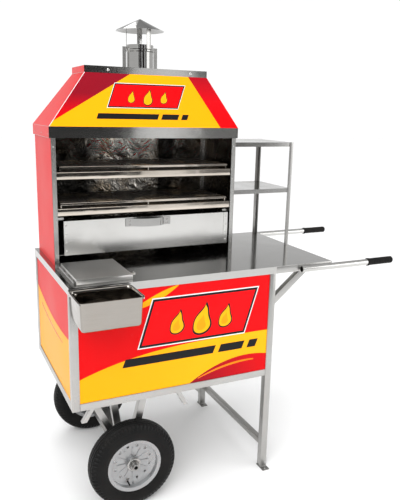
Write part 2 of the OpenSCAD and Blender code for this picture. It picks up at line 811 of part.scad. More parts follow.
// Pressed wheel: rim channel, disc with round holes and ribs, and the hub.
module wheel() {
    b = rim_r - 10;
    color([0.62, 0.61, 0.59]) difference() {
        union() {
            rotate_extrude($fn = 128) polygon([[b - 3, -33], [rim_r, -36.5], [rim_r + 2, -36.2],
                [b, -33], [b, 33], [rim_r + 2, 36.2], [rim_r, 36.5], [b - 3, 33], [b - 3, 12],
                [b - 20, 6], [28, 6], [28, 24], [axle_r + 0.05, 24], [axle_r + 0.05, -30],
                [24, -30], [24, 2], [b - 18, 2], [b - 3, 8]]);
            for (i = [0:rim_holes - 1]) rotate([0, 0, i * 360 / rim_holes])
                translate([27, -2, 5.9]) cube([40, 4, 3.1]);
        }
        for (i = [0:rim_holes - 1]) rotate([0, 0, (i + 0.5) * 360 / rim_holes])
            translate([b - 26, 0, 0]) cylinder(r = 6, h = 10, $fn = 32);
        rotate([0, 0, -90]) translate([b - 10, 0, 9]) rotate([0, 90, 0])
            cylinder(r = 3, h = 20, center = true, $fn = 32);
    }
}

module at_front() {
    cart() translate([axle_x, wheel_out, tyre_r]) rotate([90, 0, 0]) children();
}

module at_rear() {
    cart() translate([axle_x, cab_d - wheel_out, tyre_r]) rotate([-90, 0, 0]) children();
}

module tyre_front() {
    at_front() tyre();
}

module wheel_front() {
    at_front() wheel();
}

module tyre_rear() {
    at_rear() tyre();
}

module wheel_rear() {
    at_rear() wheel();
}

left_posts();
right_legs();
foot_plates();
bottom_rails();
cross_rails();
top_rails();
extension_arms();
leg_tie_bar();
rear_brace();
axle_struts();
axle_beam();
stub_axles();
axle_collars();
frame_stubs();
handle_tubes();
handle_grips();
handle_braces();
worktop();
worktop_extension();
front_panel();
left_panel();
right_panel();
cabinet_floor();
well_box();
lid_hinge_leaf();
lid_hinge_pin();
lid_hinge_knuckles();
well_lid();
pan_hanger();
front_pan();
door_hinge_leaves();
door_hinge_pins();
door_hinge_knuckles();
rear_door();
door_pull();
roaster_left_side();
roaster_right_side();
roaster_back();
roaster_uprights();
fascia_band();
hood_shell();
hood_cap();
dome_screws();
chimney_pipe();
chimney_brackets();
cap_straps();
chimney_cap();
upper_grate();
lower_grate();
runners();
drawer_box();
drawer_front();
drawer_handle();
rack_posts();
rack_shelves();
tyre_front();
wheel_front();
tyre_rear();
wheel_rear();
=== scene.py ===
"""Push vending cart: looks, printed films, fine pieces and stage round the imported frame."""

import math

import bmesh
import bpy
import numpy as np
from mathutils import Matrix, Vector


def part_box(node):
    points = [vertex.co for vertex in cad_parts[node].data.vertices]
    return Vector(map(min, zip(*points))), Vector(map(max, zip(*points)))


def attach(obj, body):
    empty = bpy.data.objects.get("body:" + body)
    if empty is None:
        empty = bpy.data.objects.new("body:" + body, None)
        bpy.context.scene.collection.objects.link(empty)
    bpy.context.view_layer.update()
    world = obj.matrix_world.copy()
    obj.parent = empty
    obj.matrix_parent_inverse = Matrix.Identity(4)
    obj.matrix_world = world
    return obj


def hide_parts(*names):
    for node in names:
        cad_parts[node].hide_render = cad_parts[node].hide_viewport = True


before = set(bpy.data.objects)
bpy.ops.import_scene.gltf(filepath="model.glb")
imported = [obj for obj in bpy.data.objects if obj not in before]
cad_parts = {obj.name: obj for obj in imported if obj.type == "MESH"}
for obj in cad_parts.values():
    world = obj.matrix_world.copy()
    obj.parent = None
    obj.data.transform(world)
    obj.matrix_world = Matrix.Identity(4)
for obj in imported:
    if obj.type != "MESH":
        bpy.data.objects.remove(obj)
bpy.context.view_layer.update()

bl_info = {
    "name": "Push Vending Cart",
    "version": (1, 0, 0),
    "blender": (4, 5, 0),
    "location": "3D View > Sidebar > Cart",
    "description": "Builds the finishes, prints and fine pieces of a push vending cart",
    "category": "Object",
}

MM = 0.001
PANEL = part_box("front_panel")
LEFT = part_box("left_panel")
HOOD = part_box("hood_shell")
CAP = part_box("hood_cap")
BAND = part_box("fascia_band")


# ---------------------------------------------------------------- settings


class CartColours(bpy.types.PropertyGroup):
    """Colours of the finishes."""

    red: bpy.props.FloatVectorProperty(
        name="Printed red", description="Ground colour of the printed sheets",
        default=(0.70, 0.002, 0.004), size=3, subtype="COLOR", min=0, max=1)
    deep_red: bpy.props.FloatVectorProperty(
        name="Deep red", description="Dark end of the shaded red areas",
        default=(0.25, 0.006, 0.016), size=3, subtype="COLOR", min=0, max=1)
    yellow: bpy.props.FloatVectorProperty(
        name="Printed yellow", description="Yellow of the swooshes",
        default=(1.0, 0.40, 0.004), size=3, subtype="COLOR", min=0, max=1)
    orange: bpy.props.FloatVectorProperty(
        name="Printed orange", description="Thin streaks over the red",
        default=(1.0, 0.22, 0.01), size=3, subtype="COLOR", min=0, max=1)
    steel: bpy.props.FloatVectorProperty(
        name="Steel", description="Stainless sheet and tube",
        default=(0.58, 0.575, 0.56), size=3, subtype="COLOR", min=0, max=1)
    rubber: bpy.props.FloatVectorProperty(
        name="Rubber", description="Tyres and grips",
        default=(0.005, 0.005, 0.005), size=3, subtype="COLOR", min=0, max=1)


class CartSizes(bpy.types.PropertyGroup):
    """Sizes of the fine pieces."""

    film: bpy.props.FloatProperty(
        name="Film thickness", description="Thickness of the printed films",
        default=0.15 * MM, unit="LENGTH", min=0.05 * MM, max=0.3 * MM)
    mesh_long: bpy.props.FloatProperty(
        name="Mesh length", description="Long diagonal of one opening in the trays",
        default=14 * MM, unit="LENGTH", min=12 * MM, max=40 * MM)
    mesh_short: bpy.props.FloatProperty(
        name="Mesh width", description="Short diagonal of one opening in the trays",
        default=8 * MM, unit="LENGTH", min=6 * MM, max=24 * MM)
    strand: bpy.props.FloatProperty(
        name="Strand", description="Width of the strands of the trays",
        default=1.25 * MM, unit="LENGTH", min=1 * MM, max=3 * MM)
    shoulder_blocks: bpy.props.IntProperty(
        name="Shoulder blocks", description="Blocks round each tyre's shoulder",
        default=64, min=24, max=96)
    bevel: bpy.props.FloatProperty(
        name="Edge radius", description="Rounding on folded and cut edges",
        default=0.8 * MM, unit="LENGTH", min=0, max=2 * MM)


def colours():
    """The colour settings in use."""
    return bpy.context.scene.cart_colours


def sizes():
    """The size settings in use."""
    return bpy.context.scene.cart_sizes


# ---------------------------------------------------------------- mesh tools


def grid_faces(rows, cols, close_rows=False, close_cols=False):
    """Quads of a rows x cols grid of points, wrapped round where asked."""
    r = np.arange(rows if close_rows else rows - 1)
    c = np.arange(cols if close_cols else cols - 1)
    i, j = np.meshgrid(r, c, indexing="ij")
    i2, j2 = (i + 1) % rows, (j + 1) % cols
    quads = np.stack([i * cols + j, i2 * cols + j, i2 * cols + j2, i * cols + j2], -1)
    return quads.reshape(-1, 4)


def make_piece(name, points, faces, material, body, slot, smooth=True, replaces=()):
    """A mesh object from arrays of points and quads, riding on a body of the frame."""
    mesh = bpy.data.meshes.new(name)
    points = np.asarray(points, float).reshape(-1, 3)
    mesh.from_pydata(points.tolist(), [], np.asarray(faces).tolist())
    mesh.validate()
    mesh.polygons.foreach_set("use_smooth", np.full(len(mesh.polygons), smooth))
    mesh.materials.append(material)
    mesh.update()
    obj = bpy.data.objects.new(name, mesh)
    bpy.context.scene.collection.objects.link(obj)
    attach(obj, body)
    if replaces:
        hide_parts(*replaces)
    return obj


def outward(obj):
    """Merge doubles, drop collapsed faces and point every face outwards."""
    shell = bmesh.new()
    shell.from_mesh(obj.data)
    bmesh.ops.remove_doubles(shell, verts=shell.verts, dist=1e-6)
    bmesh.ops.dissolve_degenerate(shell, edges=shell.edges, dist=1e-7)
    bmesh.ops.recalc_face_normals(shell, faces=shell.faces)
    shell.to_mesh(obj.data)
    shell.free()
    return obj


def split_smooth(obj, angle=35):
    """Shade smoothly but keep edges sharper than the angle."""
    edge = obj.modifiers.new("crisp", "EDGE_SPLIT")
    edge.split_angle = math.radians(angle)
    return obj


def swept(path, side, up, section):
    """Points of a section (pairs across, along up) carried along a path of points."""
    across = section[None, :, 0, None] * side[:, None, :]
    rise = section[None, :, 1, None] * np.asarray(up)[None, None, :]
    return path[:, None, :] + across + rise


def capped(rows, cols):
    """Faces of a tube of rows sections of cols points, with both ends closed by fans of quads."""
    body = grid_faces(rows, cols, close_cols=True)
    k = np.arange((cols - 2) // 2)
    cap = np.stack([k, k + 1, cols - 2 - k, cols - 1 - k], -1)
    return np.concatenate([body, cap, cap[:, ::-1] + (rows - 1) * cols])


def bars(corners_low, corners_high):
    """Points and faces of many boxes from arrays of low and high corners."""
    lo, hi = np.asarray(corners_low, float), np.asarray(corners_high, float)
    pick = np.array([[0, 0, 0], [1, 0, 0], [1, 1, 0], [0, 1, 0],
                     [0, 0, 1], [1, 0, 1], [1, 1, 1], [0, 1, 1]])
    pts = np.where(pick[None], hi[:, None], lo[:, None])
    quad = np.array([[0, 3, 2, 1], [4, 5, 6, 7], [0, 1, 5, 4],
                     [1, 2, 6, 5], [2, 3, 7, 6], [3, 0, 4, 7]])
    faces = quad[None] + 8 * np.arange(len(lo))[:, None, None]
    return pts.reshape(-1, 3), faces.reshape(-1, 4)


def joined(parts):
    """One pair of points and faces from several pairs."""
    pts, faces, n = [], [], 0
    for p, f in parts:
        p = np.asarray(p).reshape(-1, 3)
        pts.append(p)
        faces.append(np.asarray(f) + n)
        n += len(p)
    return np.concatenate(pts), np.concatenate(faces)


# ---------------------------------------------------------------- materials


def new_material(name, colour, metallic, roughness):
    """A material with one Principled shader; returns it, its node tree and the shader."""
    mat = bpy.data.materials.new(name)
    mat.use_nodes = True
    tree = mat.node_tree
    shader = tree.nodes["Principled BSDF"]
    shader.inputs["Base Color"].default_value = (*colour, 1)
    shader.inputs["Metallic"].default_value = metallic
    shader.inputs["Roughness"].default_value = roughness
    mat.diffuse_color = (*colour, 1)
    return mat, tree, shader


def noise(tree, scale, stretch=(1, 1, 1), detail=4, rough=0.55, distortion=0.0):
    """Noise on Object coordinates, stretched along the axes."""
    nodes, links = tree.nodes, tree.links
    coord = nodes.new("ShaderNodeTexCoord")
    mapping = nodes.new("ShaderNodeMapping")
    mapping.inputs["Scale"].default_value = stretch
    tex = nodes.new("ShaderNodeTexNoise")
    tex.inputs["Scale"].default_value = scale
    tex.inputs["Detail"].default_value = detail
    tex.inputs["Roughness"].default_value = rough
    tex.inputs["Distortion"].default_value = distortion
    links.new(coord.outputs["Object"], mapping.inputs["Vector"])
    links.new(mapping.outputs["Vector"], tex.inputs["Vector"])
    return tex.outputs["Fac"]


def ramp(tree, value, stops):
    """Colour ramp with (position, colour) stops; greys are given as one number."""
    node = tree.nodes.new("ShaderNodeValToRGB")
    e = node.color_ramp.elements
    while len(e) < len(stops):
        e.new(0.5)
    for el, (pos, col) in zip(e, stops):
        el.position = pos
        el.color = (*col, 1) if isinstance(col, (tuple, list)) else (col, col, col, 1)
    tree.links.new(value, node.inputs["Fac"])
    return node.outputs["Color"]


def mixed(tree, factor, a, b, how="MIX"):
    """Colour mix of two sockets or colours."""
    node = tree.nodes.new("ShaderNodeMix")
    node.data_type = "RGBA"
    node.blend_type = how
    for name, v in (("A", a), ("B", b)):
        socket = [s for s in node.inputs if s.name == name and s.type == "RGBA"][0]
        if hasattr(v, "links"):
            tree.links.new(v, socket)
        else:
            socket.default_value = (*v, 1)
    socket = [s for s in node.inputs if s.name == "Factor" and s.type == "VALUE"][0]
    if hasattr(factor, "links"):
        tree.links.new(factor, socket)
    else:
        socket.default_value = factor
    return [s for s in node.outputs if s.type == "RGBA"][0]


def along(tree, axis, low, high):
    """Value running from 0 to 1 between two places along an axis of Object coordinates."""
    coord = tree.nodes.new("ShaderNodeTexCoord")
    split = tree.nodes.new("ShaderNodeSeparateXYZ")
    node = tree.nodes.new("ShaderNodeMapRange")
    node.inputs["From Min"].default_value = low
    node.inputs["From Max"].default_value = high
    tree.links.new(coord.outputs["Object"], split.inputs["Vector"])
    tree.links.new(split.outputs["XYZ".index(axis)], node.inputs["Value"])
    return node.outputs["Result"]


def bump(tree, shader, height, strength, distance):
    """Bump on the shader's normal from a height socket."""
    node = tree.nodes.new("ShaderNodeBump")
    node.inputs["Strength"].default_value = strength
    node.inputs["Distance"].default_value = distance
    tree.links.new(height, node.inputs["Height"])
    tree.links.new(node.outputs["Normal"], shader.inputs["Normal"])


def steel_finish(name, tint=1.0, rough=(0.12, 0.26), grain=(1, 60, 60), waves=0.06, stain=0.15,
                 colour=None, dirt=(0.20, 0.17, 0.13), wave_scale=3.0):
    """Brushed steel: grain lines across the stretch axes, slow waves of the sheet and faint stains."""
    base = tuple(c * tint for c in (colour or colours().steel))
    mat, tree, shader = new_material(name, base, 1.0, rough[0])
    lines = noise(tree, 12, grain, 6, 0.7)
    patches = noise(tree, 5, (1, 1, 1), 5, 0.6)
    worn = ramp(tree, patches, [(0.45, 0.0), (0.75, stain)])
    shade = mixed(tree, 0.22, base, ramp(tree, lines, [(0.3, 0.55), (0.7, 1.0)]), "MULTIPLY")
    tree.links.new(mixed(tree, worn, shade, dirt), shader.inputs["Base Color"])
    both = mixed(tree, 0.5, ramp(tree, lines, [(0.25, rough[0]), (0.75, rough[1])]),
                 ramp(tree, patches, [(0.3, rough[0]), (0.7, rough[1])]))
    tree.links.new(both, shader.inputs["Roughness"])
    swell = noise(tree, wave_scale, (1, 1, 1), 2, 0.4, 0.6)
    height = mixed(tree, 0.02, swell, lines)
    bump(tree, shader, height, waves, 0.02)
    return mat


def print_finish(name, low, high=None, axis="Z", span=(0, 1), rough=0.14, bend=0.03,
                 gloss=0.10):
    """Glossy printed film: a shade from low to high along an axis, slight waves and dust."""
    mat, tree, shader = new_material(name, low, 0.0, rough)
    ground = noise(tree, 2.5, (1, 1, 1), 3, 0.5)
    t = along(tree, axis, *span)
    shade = mixed(tree, t, low, high or low)
    shade = mixed(tree, ramp(tree, ground, [(0.35, 0.10), (0.75, 0.0)]), shade,
                  tuple(c * 0.6 for c in low))
    dust = ramp(tree, noise(tree, 30, (1, 1, 1), 6, 0.7), [(0.62, 0.0), (0.85, 0.03)])
    tree.links.new(mixed(tree, dust, shade, (0.55, 0.5, 0.45)), shader.inputs["Base Color"])
    tree.links.new(ramp(tree, ground, [(0.3, rough), (0.8, rough + 0.12)]),
                   shader.inputs["Roughness"])
    shader.inputs["Specular IOR Level"].default_value = gloss
    bump(tree, shader, noise(tree, 2.0, (1, 1, 1), 2, 0.4), bend, 0.02)
    return mat


def rubber_finish(name, dusty, rough):
    """Black rubber with dust in patches and a fine skin."""
    base = tuple(colours().rubber)
    mat, tree, shader = new_material(name, base, 0.0, rough)
    patches = noise(tree, 9, (1, 1, 1), 6, 0.65)
    tree.links.new(mixed(tree, ramp(tree, patches, [(0.42, 0.0), (0.8, dusty)]), base,
                         (0.21, 0.18, 0.15)), shader.inputs["Base Color"])
    tree.links.new(ramp(tree, patches, [(0.3, rough - 0.08), (0.7, rough + 0.15)]),
                   shader.inputs["Roughness"])
    shader.inputs["Specular IOR Level"].default_value = 0.12
    bump(tree, shader, noise(tree, 350, (1, 1, 1), 3, 0.6), 0.25, 0.0006)
    return mat


def soot_finish(name, colour, rough=(0.30, 0.55), waves=0.3, soot=0.7, wave_scale=9.0,
                columns=None):
    """Heat-stained steel: brown and straw patches, soot, a crumpled sheet and, where asked, columns
    darker along X.
    """
    mat, tree, shader = new_material(name, colour, 1.0, rough[0])
    patches = noise(tree, 7, (1, 1, 1), 6, 0.62, 0.8)
    tint = ramp(tree, patches, [(0.30, (0.10, 0.085, 0.07)), (0.48, tuple(colour)),
                                (0.66, (0.50, 0.40, 0.28))])
    dark = ramp(tree, noise(tree, 3.2, (1, 1, 1), 4, 0.6), [(0.42, soot), (0.7, 0.0)])
    burnt = mixed(tree, dark, tint, (0.03, 0.027, 0.024))
    if columns:
        span, stops = columns
        burnt = mixed(tree, 1.0, burnt, ramp(tree, along(tree, "X", *span), stops), "MULTIPLY")
    tree.links.new(burnt, shader.inputs["Base Color"])
    tree.links.new(ramp(tree, patches, [(0.3, rough[1]), (0.7, rough[0])]),
                   shader.inputs["Roughness"])
    bump(tree, shader, noise(tree, wave_scale, (1, 1, 1), 4, 0.55, 1.2), waves, 0.02)
    return mat


def paint_finish(name, colour, rough, metallic=0.0, chips=(0.2, 0.19, 0.18)):
    """Enamel with small chips and a slight orange-peel skin."""
    mat, tree, shader = new_material(name, colour, metallic, rough)
    spots = noise(tree, 40, (1, 1, 1), 8, 0.75)
    tree.links.new(mixed(tree, ramp(tree, spots, [(0.63, 0.0), (0.72, 0.7)]), colour, chips),
                   shader.inputs["Base Color"])
    tree.links.new(ramp(tree, noise(tree, 12), [(0.3, rough - 0.08), (0.7, rough + 0.14)]),
                   shader.inputs["Roughness"])
    bump(tree, shader, noise(tree, 260), 0.12, 0.0005)
    return mat


def far_face(mat, axis, at, colour, rough):
    """Plain steel on the far face of a sheet: every value changes over beyond a place on an axis."""
    tree = mat.node_tree
    shader = tree.nodes["Principled BSDF"]
    t = along(tree, axis, at - 0.1 * MM, at + 0.1 * MM)
    face = ramp(tree, noise(tree, 6, (1, 1, 1), 5, 0.6),
                [(0.35, tuple(0.7 * c for c in colour)), (0.65, tuple(colour))])
    sheen = ramp(tree, noise(tree, 9, (1, 1, 1), 5, 0.6), [(0.3, rough), (0.7, rough + 0.15)])
    for name, far in (("Base Color", face), ("Roughness", sheen)):
        near = shader.inputs[name].links[0].from_socket
        tree.links.new(mixed(tree, t, near, far), shader.inputs[name])
    if shader.inputs["Metallic"].default_value < 0.5:
        tree.links.new(ramp(tree, t, [(0.0, 0.0), (1.0, 1.0)]), shader.inputs["Metallic"])
    return mat


# ---------------------------------------------------------------- frame finish


# Steel finishes of the CAD nodes. Each row: finish, tint, least and most roughness, stretch of the
# brush lines along X, Y and Z, waves of the sheet, stain, nodes.
STEELS = (
    ("ground_tube_upright", 0.80, (0.20, 0.40), (60, 60, 1), 0.03, 0.15,
     ("left_posts", "right_legs", "top_rails")),
    ("ground_tube_level", 0.84, (0.20, 0.40), (1, 60, 60), 0.03, 0.15,
     ("bottom_rails", "extension_arms", "frame_stubs", "rear_brace", "handle_braces")),
    ("ground_tube_cross", 0.80, (0.24, 0.45), (60, 1, 60), 0.03, 0.30,
     ("cross_rails", "leg_tie_bar", "axle_struts")),
    ("worktop_sheet", 0.85, (0.07, 0.17), (1, 45, 45), 0.04, 0.10,
     ("worktop", "worktop_extension", "pan_hanger")),
    # The lid's tint of 1.3 is painted light that makes the lid lighter than the worktop; its higher
    # roughness is not painted.
    ("lid_sheet", 1.3, (0.26, 0.38), (1, 45, 45), 0.03, 0.05, ("well_lid",)),
    ("plain_sheet", 1.0, (0.20, 0.36), (1, 50, 50), 0.05, 0.15, ("right_panel", "rear_door")),
    ("shelf_sheet", 0.62, (0.10, 0.24), (1, 50, 50), 0.10, 0.35, ("rack_shelves",)),
    ("drawer_sheet", 1.2, (0.12, 0.24), (1, 45, 60), 0.05, 0.10, ("drawer_front",)),
    ("folded_angle", 0.85, (0.18, 0.34), (60, 60, 1), 0.06, 0.20,
     ("roaster_uprights", "lid_hinge_leaf", "lid_hinge_knuckles", "door_hinge_leaves",
      "door_hinge_knuckles", "runners")),
    ("rack_angle", 0.62, (0.22, 0.42), (60, 60, 1), 0.05, 0.25, ("rack_posts",)),
    ("strap_steel", 0.85, (0.20, 0.34), (50, 50, 1), 0.03, 0.15,
     ("chimney_brackets", "cap_straps")),
    ("handle_steel", 1.0, (0.10, 0.22), (1, 50, 50), 0.02, 0.15, ("handle_tubes",)),
    ("screw_steel", 1.05, (0.10, 0.20), (20, 20, 20), 0.02, 0.15, ("dome_screws", "door_pull")),
)
TUBES = [node for row in STEELS[:3] for node in row[-1]]
SHEET_EDGES = {"pan_hanger": 0.3 * MM, "well_lid": 0.4 * MM, "rack_posts": 0.4 * MM}
CRISP_ANGLES = {"chimney_pipe": 15, "chimney_cap": 15, "wheel_front": 30, "wheel_rear": 30}

# Tones of the back wall from left to right: dark columns with the bare sheet between them.
BACK_WALL_COLUMNS = [(0.0, 0.10), (0.27, 0.07), (0.36, 1.0), (0.68, 1.0), (0.71, 0.05), (0.79, 0.06),
                 (0.82, 0.45), (1.0, 0.30)]
BARE_SIDE_STEEL = (0.30, 0.28, 0.25)
OVEN_STEEL = (0.30, 0.27, 0.24)


def dress(nodes, material):
    """Give CAD nodes a material, merged corners, rounded edges and crisp smooth shading."""
    for node in nodes:
        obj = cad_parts[node]
        for slot in obj.material_slots:
            slot.material = material
        obj.data.polygons.foreach_set("use_smooth", np.ones(len(obj.data.polygons), bool))
        weld = obj.modifiers.new("weld", "WELD")
        weld.merge_threshold = 1e-5
        radius = sizes().bevel if node in TUBES else SHEET_EDGES.get(node, 0)
        if radius:
            edge = obj.modifiers.new("rounding", "BEVEL")
            edge.width = radius
            edge.segments = 2
            edge.limit_method = "ANGLE"
            edge.angle_limit = math.radians(40)
            edge.harden_normals = False
        split_smooth(obj, CRISP_ANGLES.get(node, 35))


def middle(node, axis):
    """Middle of a node's box along an axis, where its two faces part."""
    lo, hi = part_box(node)
    k = "XYZ".index(axis)
    return (lo[k] + hi[k]) / 2


class CART_OT_frame(bpy.types.Operator):
    """Finish of the frame, sheets, hinges and running gear."""

    bl_idname = "cart.frame"
    bl_label = "Frame and sheets"

    def execute(self, context):
        plain, red = tuple(colours().steel), tuple(colours().red)
        for finish, tint, rough, grain, waves, stain, nodes in STEELS:
            dress(nodes, steel_finish(finish, tint, rough, grain, waves, stain))
        dress(["fascia_band", "hood_cap"],
              steel_finish("band_sheet", 0.90, (0.08, 0.16), (1, 40, 60), 0.10, 0.12,
                           wave_scale=4.0))
        dress(["chimney_pipe", "chimney_cap"],
              steel_finish("chimney_sheet", 0.60, (0.04, 0.10), (1, 1, 30), 0.06, 0.06,
                           wave_scale=12.0))
        dress(["foot_plates", "axle_beam", "stub_axles", "axle_collars", "lid_hinge_pin",
               "door_hinge_pins"],
              steel_finish("axle_steel", 0.55, (0.26, 0.48), (20, 20, 20), 0.04, 0.5,
                           dirt=(0.10, 0.06, 0.035)))

        lo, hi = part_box("roaster_back")
        back = soot_finish("crumpled_back", (0.62, 0.59, 0.54), (0.10, 0.26), 0.8, 0.25, 11.0,
                           ((lo.x, hi.x), BACK_WALL_COLUMNS))
        dress(["roaster_back"], far_face(back, "Y", middle("roaster_back", "Y"), plain, 0.2))
        dress(["drawer_box", "well_box", "cabinet_floor"],
              soot_finish("oven_sheet", OVEN_STEEL, (0.16, 0.36), 0.35, 0.75))
        dress(["roaster_right_side"],
              far_face(soot_finish("oven_side", OVEN_STEEL, (0.16, 0.36), 0.2, 0.75),
                       "X", middle("roaster_right_side", "X"), plain, 0.2))

        dress(["handle_grips"], rubber_finish("grip_rubber", 0.10, 0.52))
        dress(["wheel_front", "wheel_rear"],
              paint_finish("wheel_enamel", (0.36, 0.365, 0.37), 0.28, 0.75))
        front = print_finish("red_sheet", red, tuple(v * 1.15 for v in red), "Z",
                             (LEFT[0].z, HOOD[1].z))
        dress(["front_panel"], far_face(front, "Y", middle("front_panel", "Y"), plain, 0.25))
        dress(["hood_shell"], print_finish("red_hood_sheet", red, rough=0.3, gloss=0.2))
        for node in ("left_panel", "roaster_left_side"):
            dress([node], far_face(print_finish(f"red_{node}", red, rough=0.3, gloss=0.12),
                                   "X", middle(node, "X"), BARE_SIDE_STEEL, 0.25))
        return {"FINISHED"}


# ---------------------------------------------------------------- printed films


LAYER = 0.25 * MM            # lift of each printed layer over the one below
HOOD_EDGE_HIGHLIGHT = 2.5 * MM         # width of the white line down the hood's left edge, a painted highlight on that edge


def front_plane(x, z, lift):
    """Point on the front panel, lifted off it towards the front."""
    y = np.full_like(np.asarray(x, float), PANEL[0].y) - lift
    return np.stack([x, y, np.asarray(z, float)], -1)


def hood_plane(x, z, lift):
    """Point on the hood's front, which leans back evenly from its foot to the cap."""
    z = np.asarray(z, float)
    lean = (CAP[0].y - HOOD[0].y) * (z - HOOD[0].z) / (HOOD[1].z - HOOD[0].z)
    return np.stack([np.asarray(x, float), HOOD[0].y + lean - lift, z], -1)


def side_plane(y, z, lift):
    """Point on the cabinet's left panel, lifted off it towards the left."""
    y = np.asarray(y, float)
    return np.stack([np.full_like(y, LEFT[0].x) - lift, y, np.asarray(z, float)], -1)


def hood_edges(z):
    """Left and right edge of the hood's front, which close in evenly from its foot to the cap."""
    rise = (z - HOOD[0].z) / (HOOD[1].z - HOOD[0].z)
    return HOOD[0].x + (CAP[0].x - HOOD[0].x) * rise, HOOD[1].x - (HOOD[1].x - CAP[1].x) * rise


def bulge(t):
    """Even bulge along a stretch: 4*t*(1-t), which is 0 at both ends and 1 in the middle."""
    return 4 * t * (1 - t)


def film_finish(obj):
    """Thickness of a printed film."""
    solid = obj.modifiers.new("film", "SOLIDIFY")
    solid.thickness = sizes().film
    solid.offset = 1
    return obj


def film_between(name, s, low, high, plane, lift, material, flip=False):
    """Film between two curves: rows blend straight from the low curve to the high one."""
    t = np.linspace(0, 1, 5)[:, None]
    z = low[None] * (1 - t) + high[None] * t
    pts = plane(np.broadcast_to(s, z.shape), z, lift)
    faces = grid_faces(*z.shape)
    obj = make_piece(name, pts, faces if flip else faces[:, ::-1], material, "cart",
                     "printed_red", False)
    return film_finish(obj)


def film_round(name, s, z, plane, lift, material):
    """Film inside a closed outline: rings shrink evenly from the outline to its middle."""
    t = np.linspace(1, 0.0, 6)[:, None]
    sm, zm = s.mean(), z.mean()
    pts = plane(sm + (s - sm)[None] * t, zm + (z - zm)[None] * t, lift)
    faces = grid_faces(len(t), len(s), close_cols=True)
    obj = make_piece(name, pts, faces, material, "cart", "printed_red", False)
    outward(obj)
    return film_finish(obj)


def slanted(cx, cz, w, h, slant, n=24):
    """Outline of a level parallelogram that leans by slant, with n points along each side."""
    corners = np.array([[-w / 2 - slant, -h / 2], [w / 2 - slant, -h / 2],
                        [w / 2 + slant, h / 2], [-w / 2 + slant, h / 2]])
    k = np.linspace(0, 4, 4 * n, endpoint=False)
    i = k.astype(int)
    t = (k - i)[:, None]
    p = corners[i] * (1 - t) + corners[(i + 1) % 4] * t
    return cx + p[:, 0], cz + p[:, 1]


def flame(cx, cz, h, lean):
    """Flame outline: a drop of width sin(t)*sin(t/2)^1.6, with a slight ripple and a leaning tip."""
    t = np.linspace(0, 2 * math.pi, 72, endpoint=False)
    up = 0.5 * (1 + np.cos(t))
    x = 0.44 * h * np.sin(t) * np.abs(np.sin(t / 2)) ** 1.6
    x += 0.05 * h * np.sin(9 * up) * up
    return cx + x + lean * up * h, cz + (up - 0.5) * h


def emblem(tag, plane, cx, cz, w, h, slant, lift, inks):
    """Plain badge: red slanted plate with black and white borders, and three flames on it."""
    black, white, red, orange, yellow = inks
    for i, (grow, ink) in enumerate(((0.16, white), (0.11, black), (0.0, red))):
        g = grow * h
        film_round(f"{tag}_plate_{i}", *slanted(cx, cz, w + g, h + g, slant * (1 + grow)),
                   plane, lift + i * LAYER, ink)
    for i, (dx, size) in enumerate(((-0.24, 0.62), (0.0, 0.82), (0.24, 0.62))):
        x = cx + dx * w
        z = cz - 0.04 * h
        film_round(f"{tag}_flame_{i}", *flame(x, z, size * h, 0.16), plane, lift + 3 * LAYER, black)
        film_round(f"{tag}_flame_mid_{i}", *flame(x, z - 0.015 * h, size * h * 0.84, 0.16),
                   plane, lift + 4 * LAYER, yellow)
        film_round(f"{tag}_flame_core_{i}", *flame(x, z - 0.12 * h * size, size * h * 0.46, 0.16),
                   plane, lift + 5 * LAYER, orange)


def speed_bars(tag, plane, cx, cz, w, h, lift, ink):
    """Long, middling and short slanted bar in a row under the badge."""
    x = cx - w / 2
    for i, share in enumerate((0.66, 0.19, 0.07)):
        film_round(f"{tag}_bar_{i}", *slanted(x + share * w / 2, cz, share * w, h, h * 0.2, 12),
                   plane, lift, ink)
        x += (share + 0.04) * w


def hood_film(name, left, right, z, lift, ink):
    """Film on the hood whose left and right edges are given at each height."""
    across = np.linspace(0, 1, 9)[:, None]
    x = left[None] * (1 - across) + right[None] * across
    pts = hood_plane(x, np.broadcast_to(z, x.shape), lift)
    film_finish(make_piece(name, pts, grid_faces(*x.shape), ink, "cart", "printed_red", False))


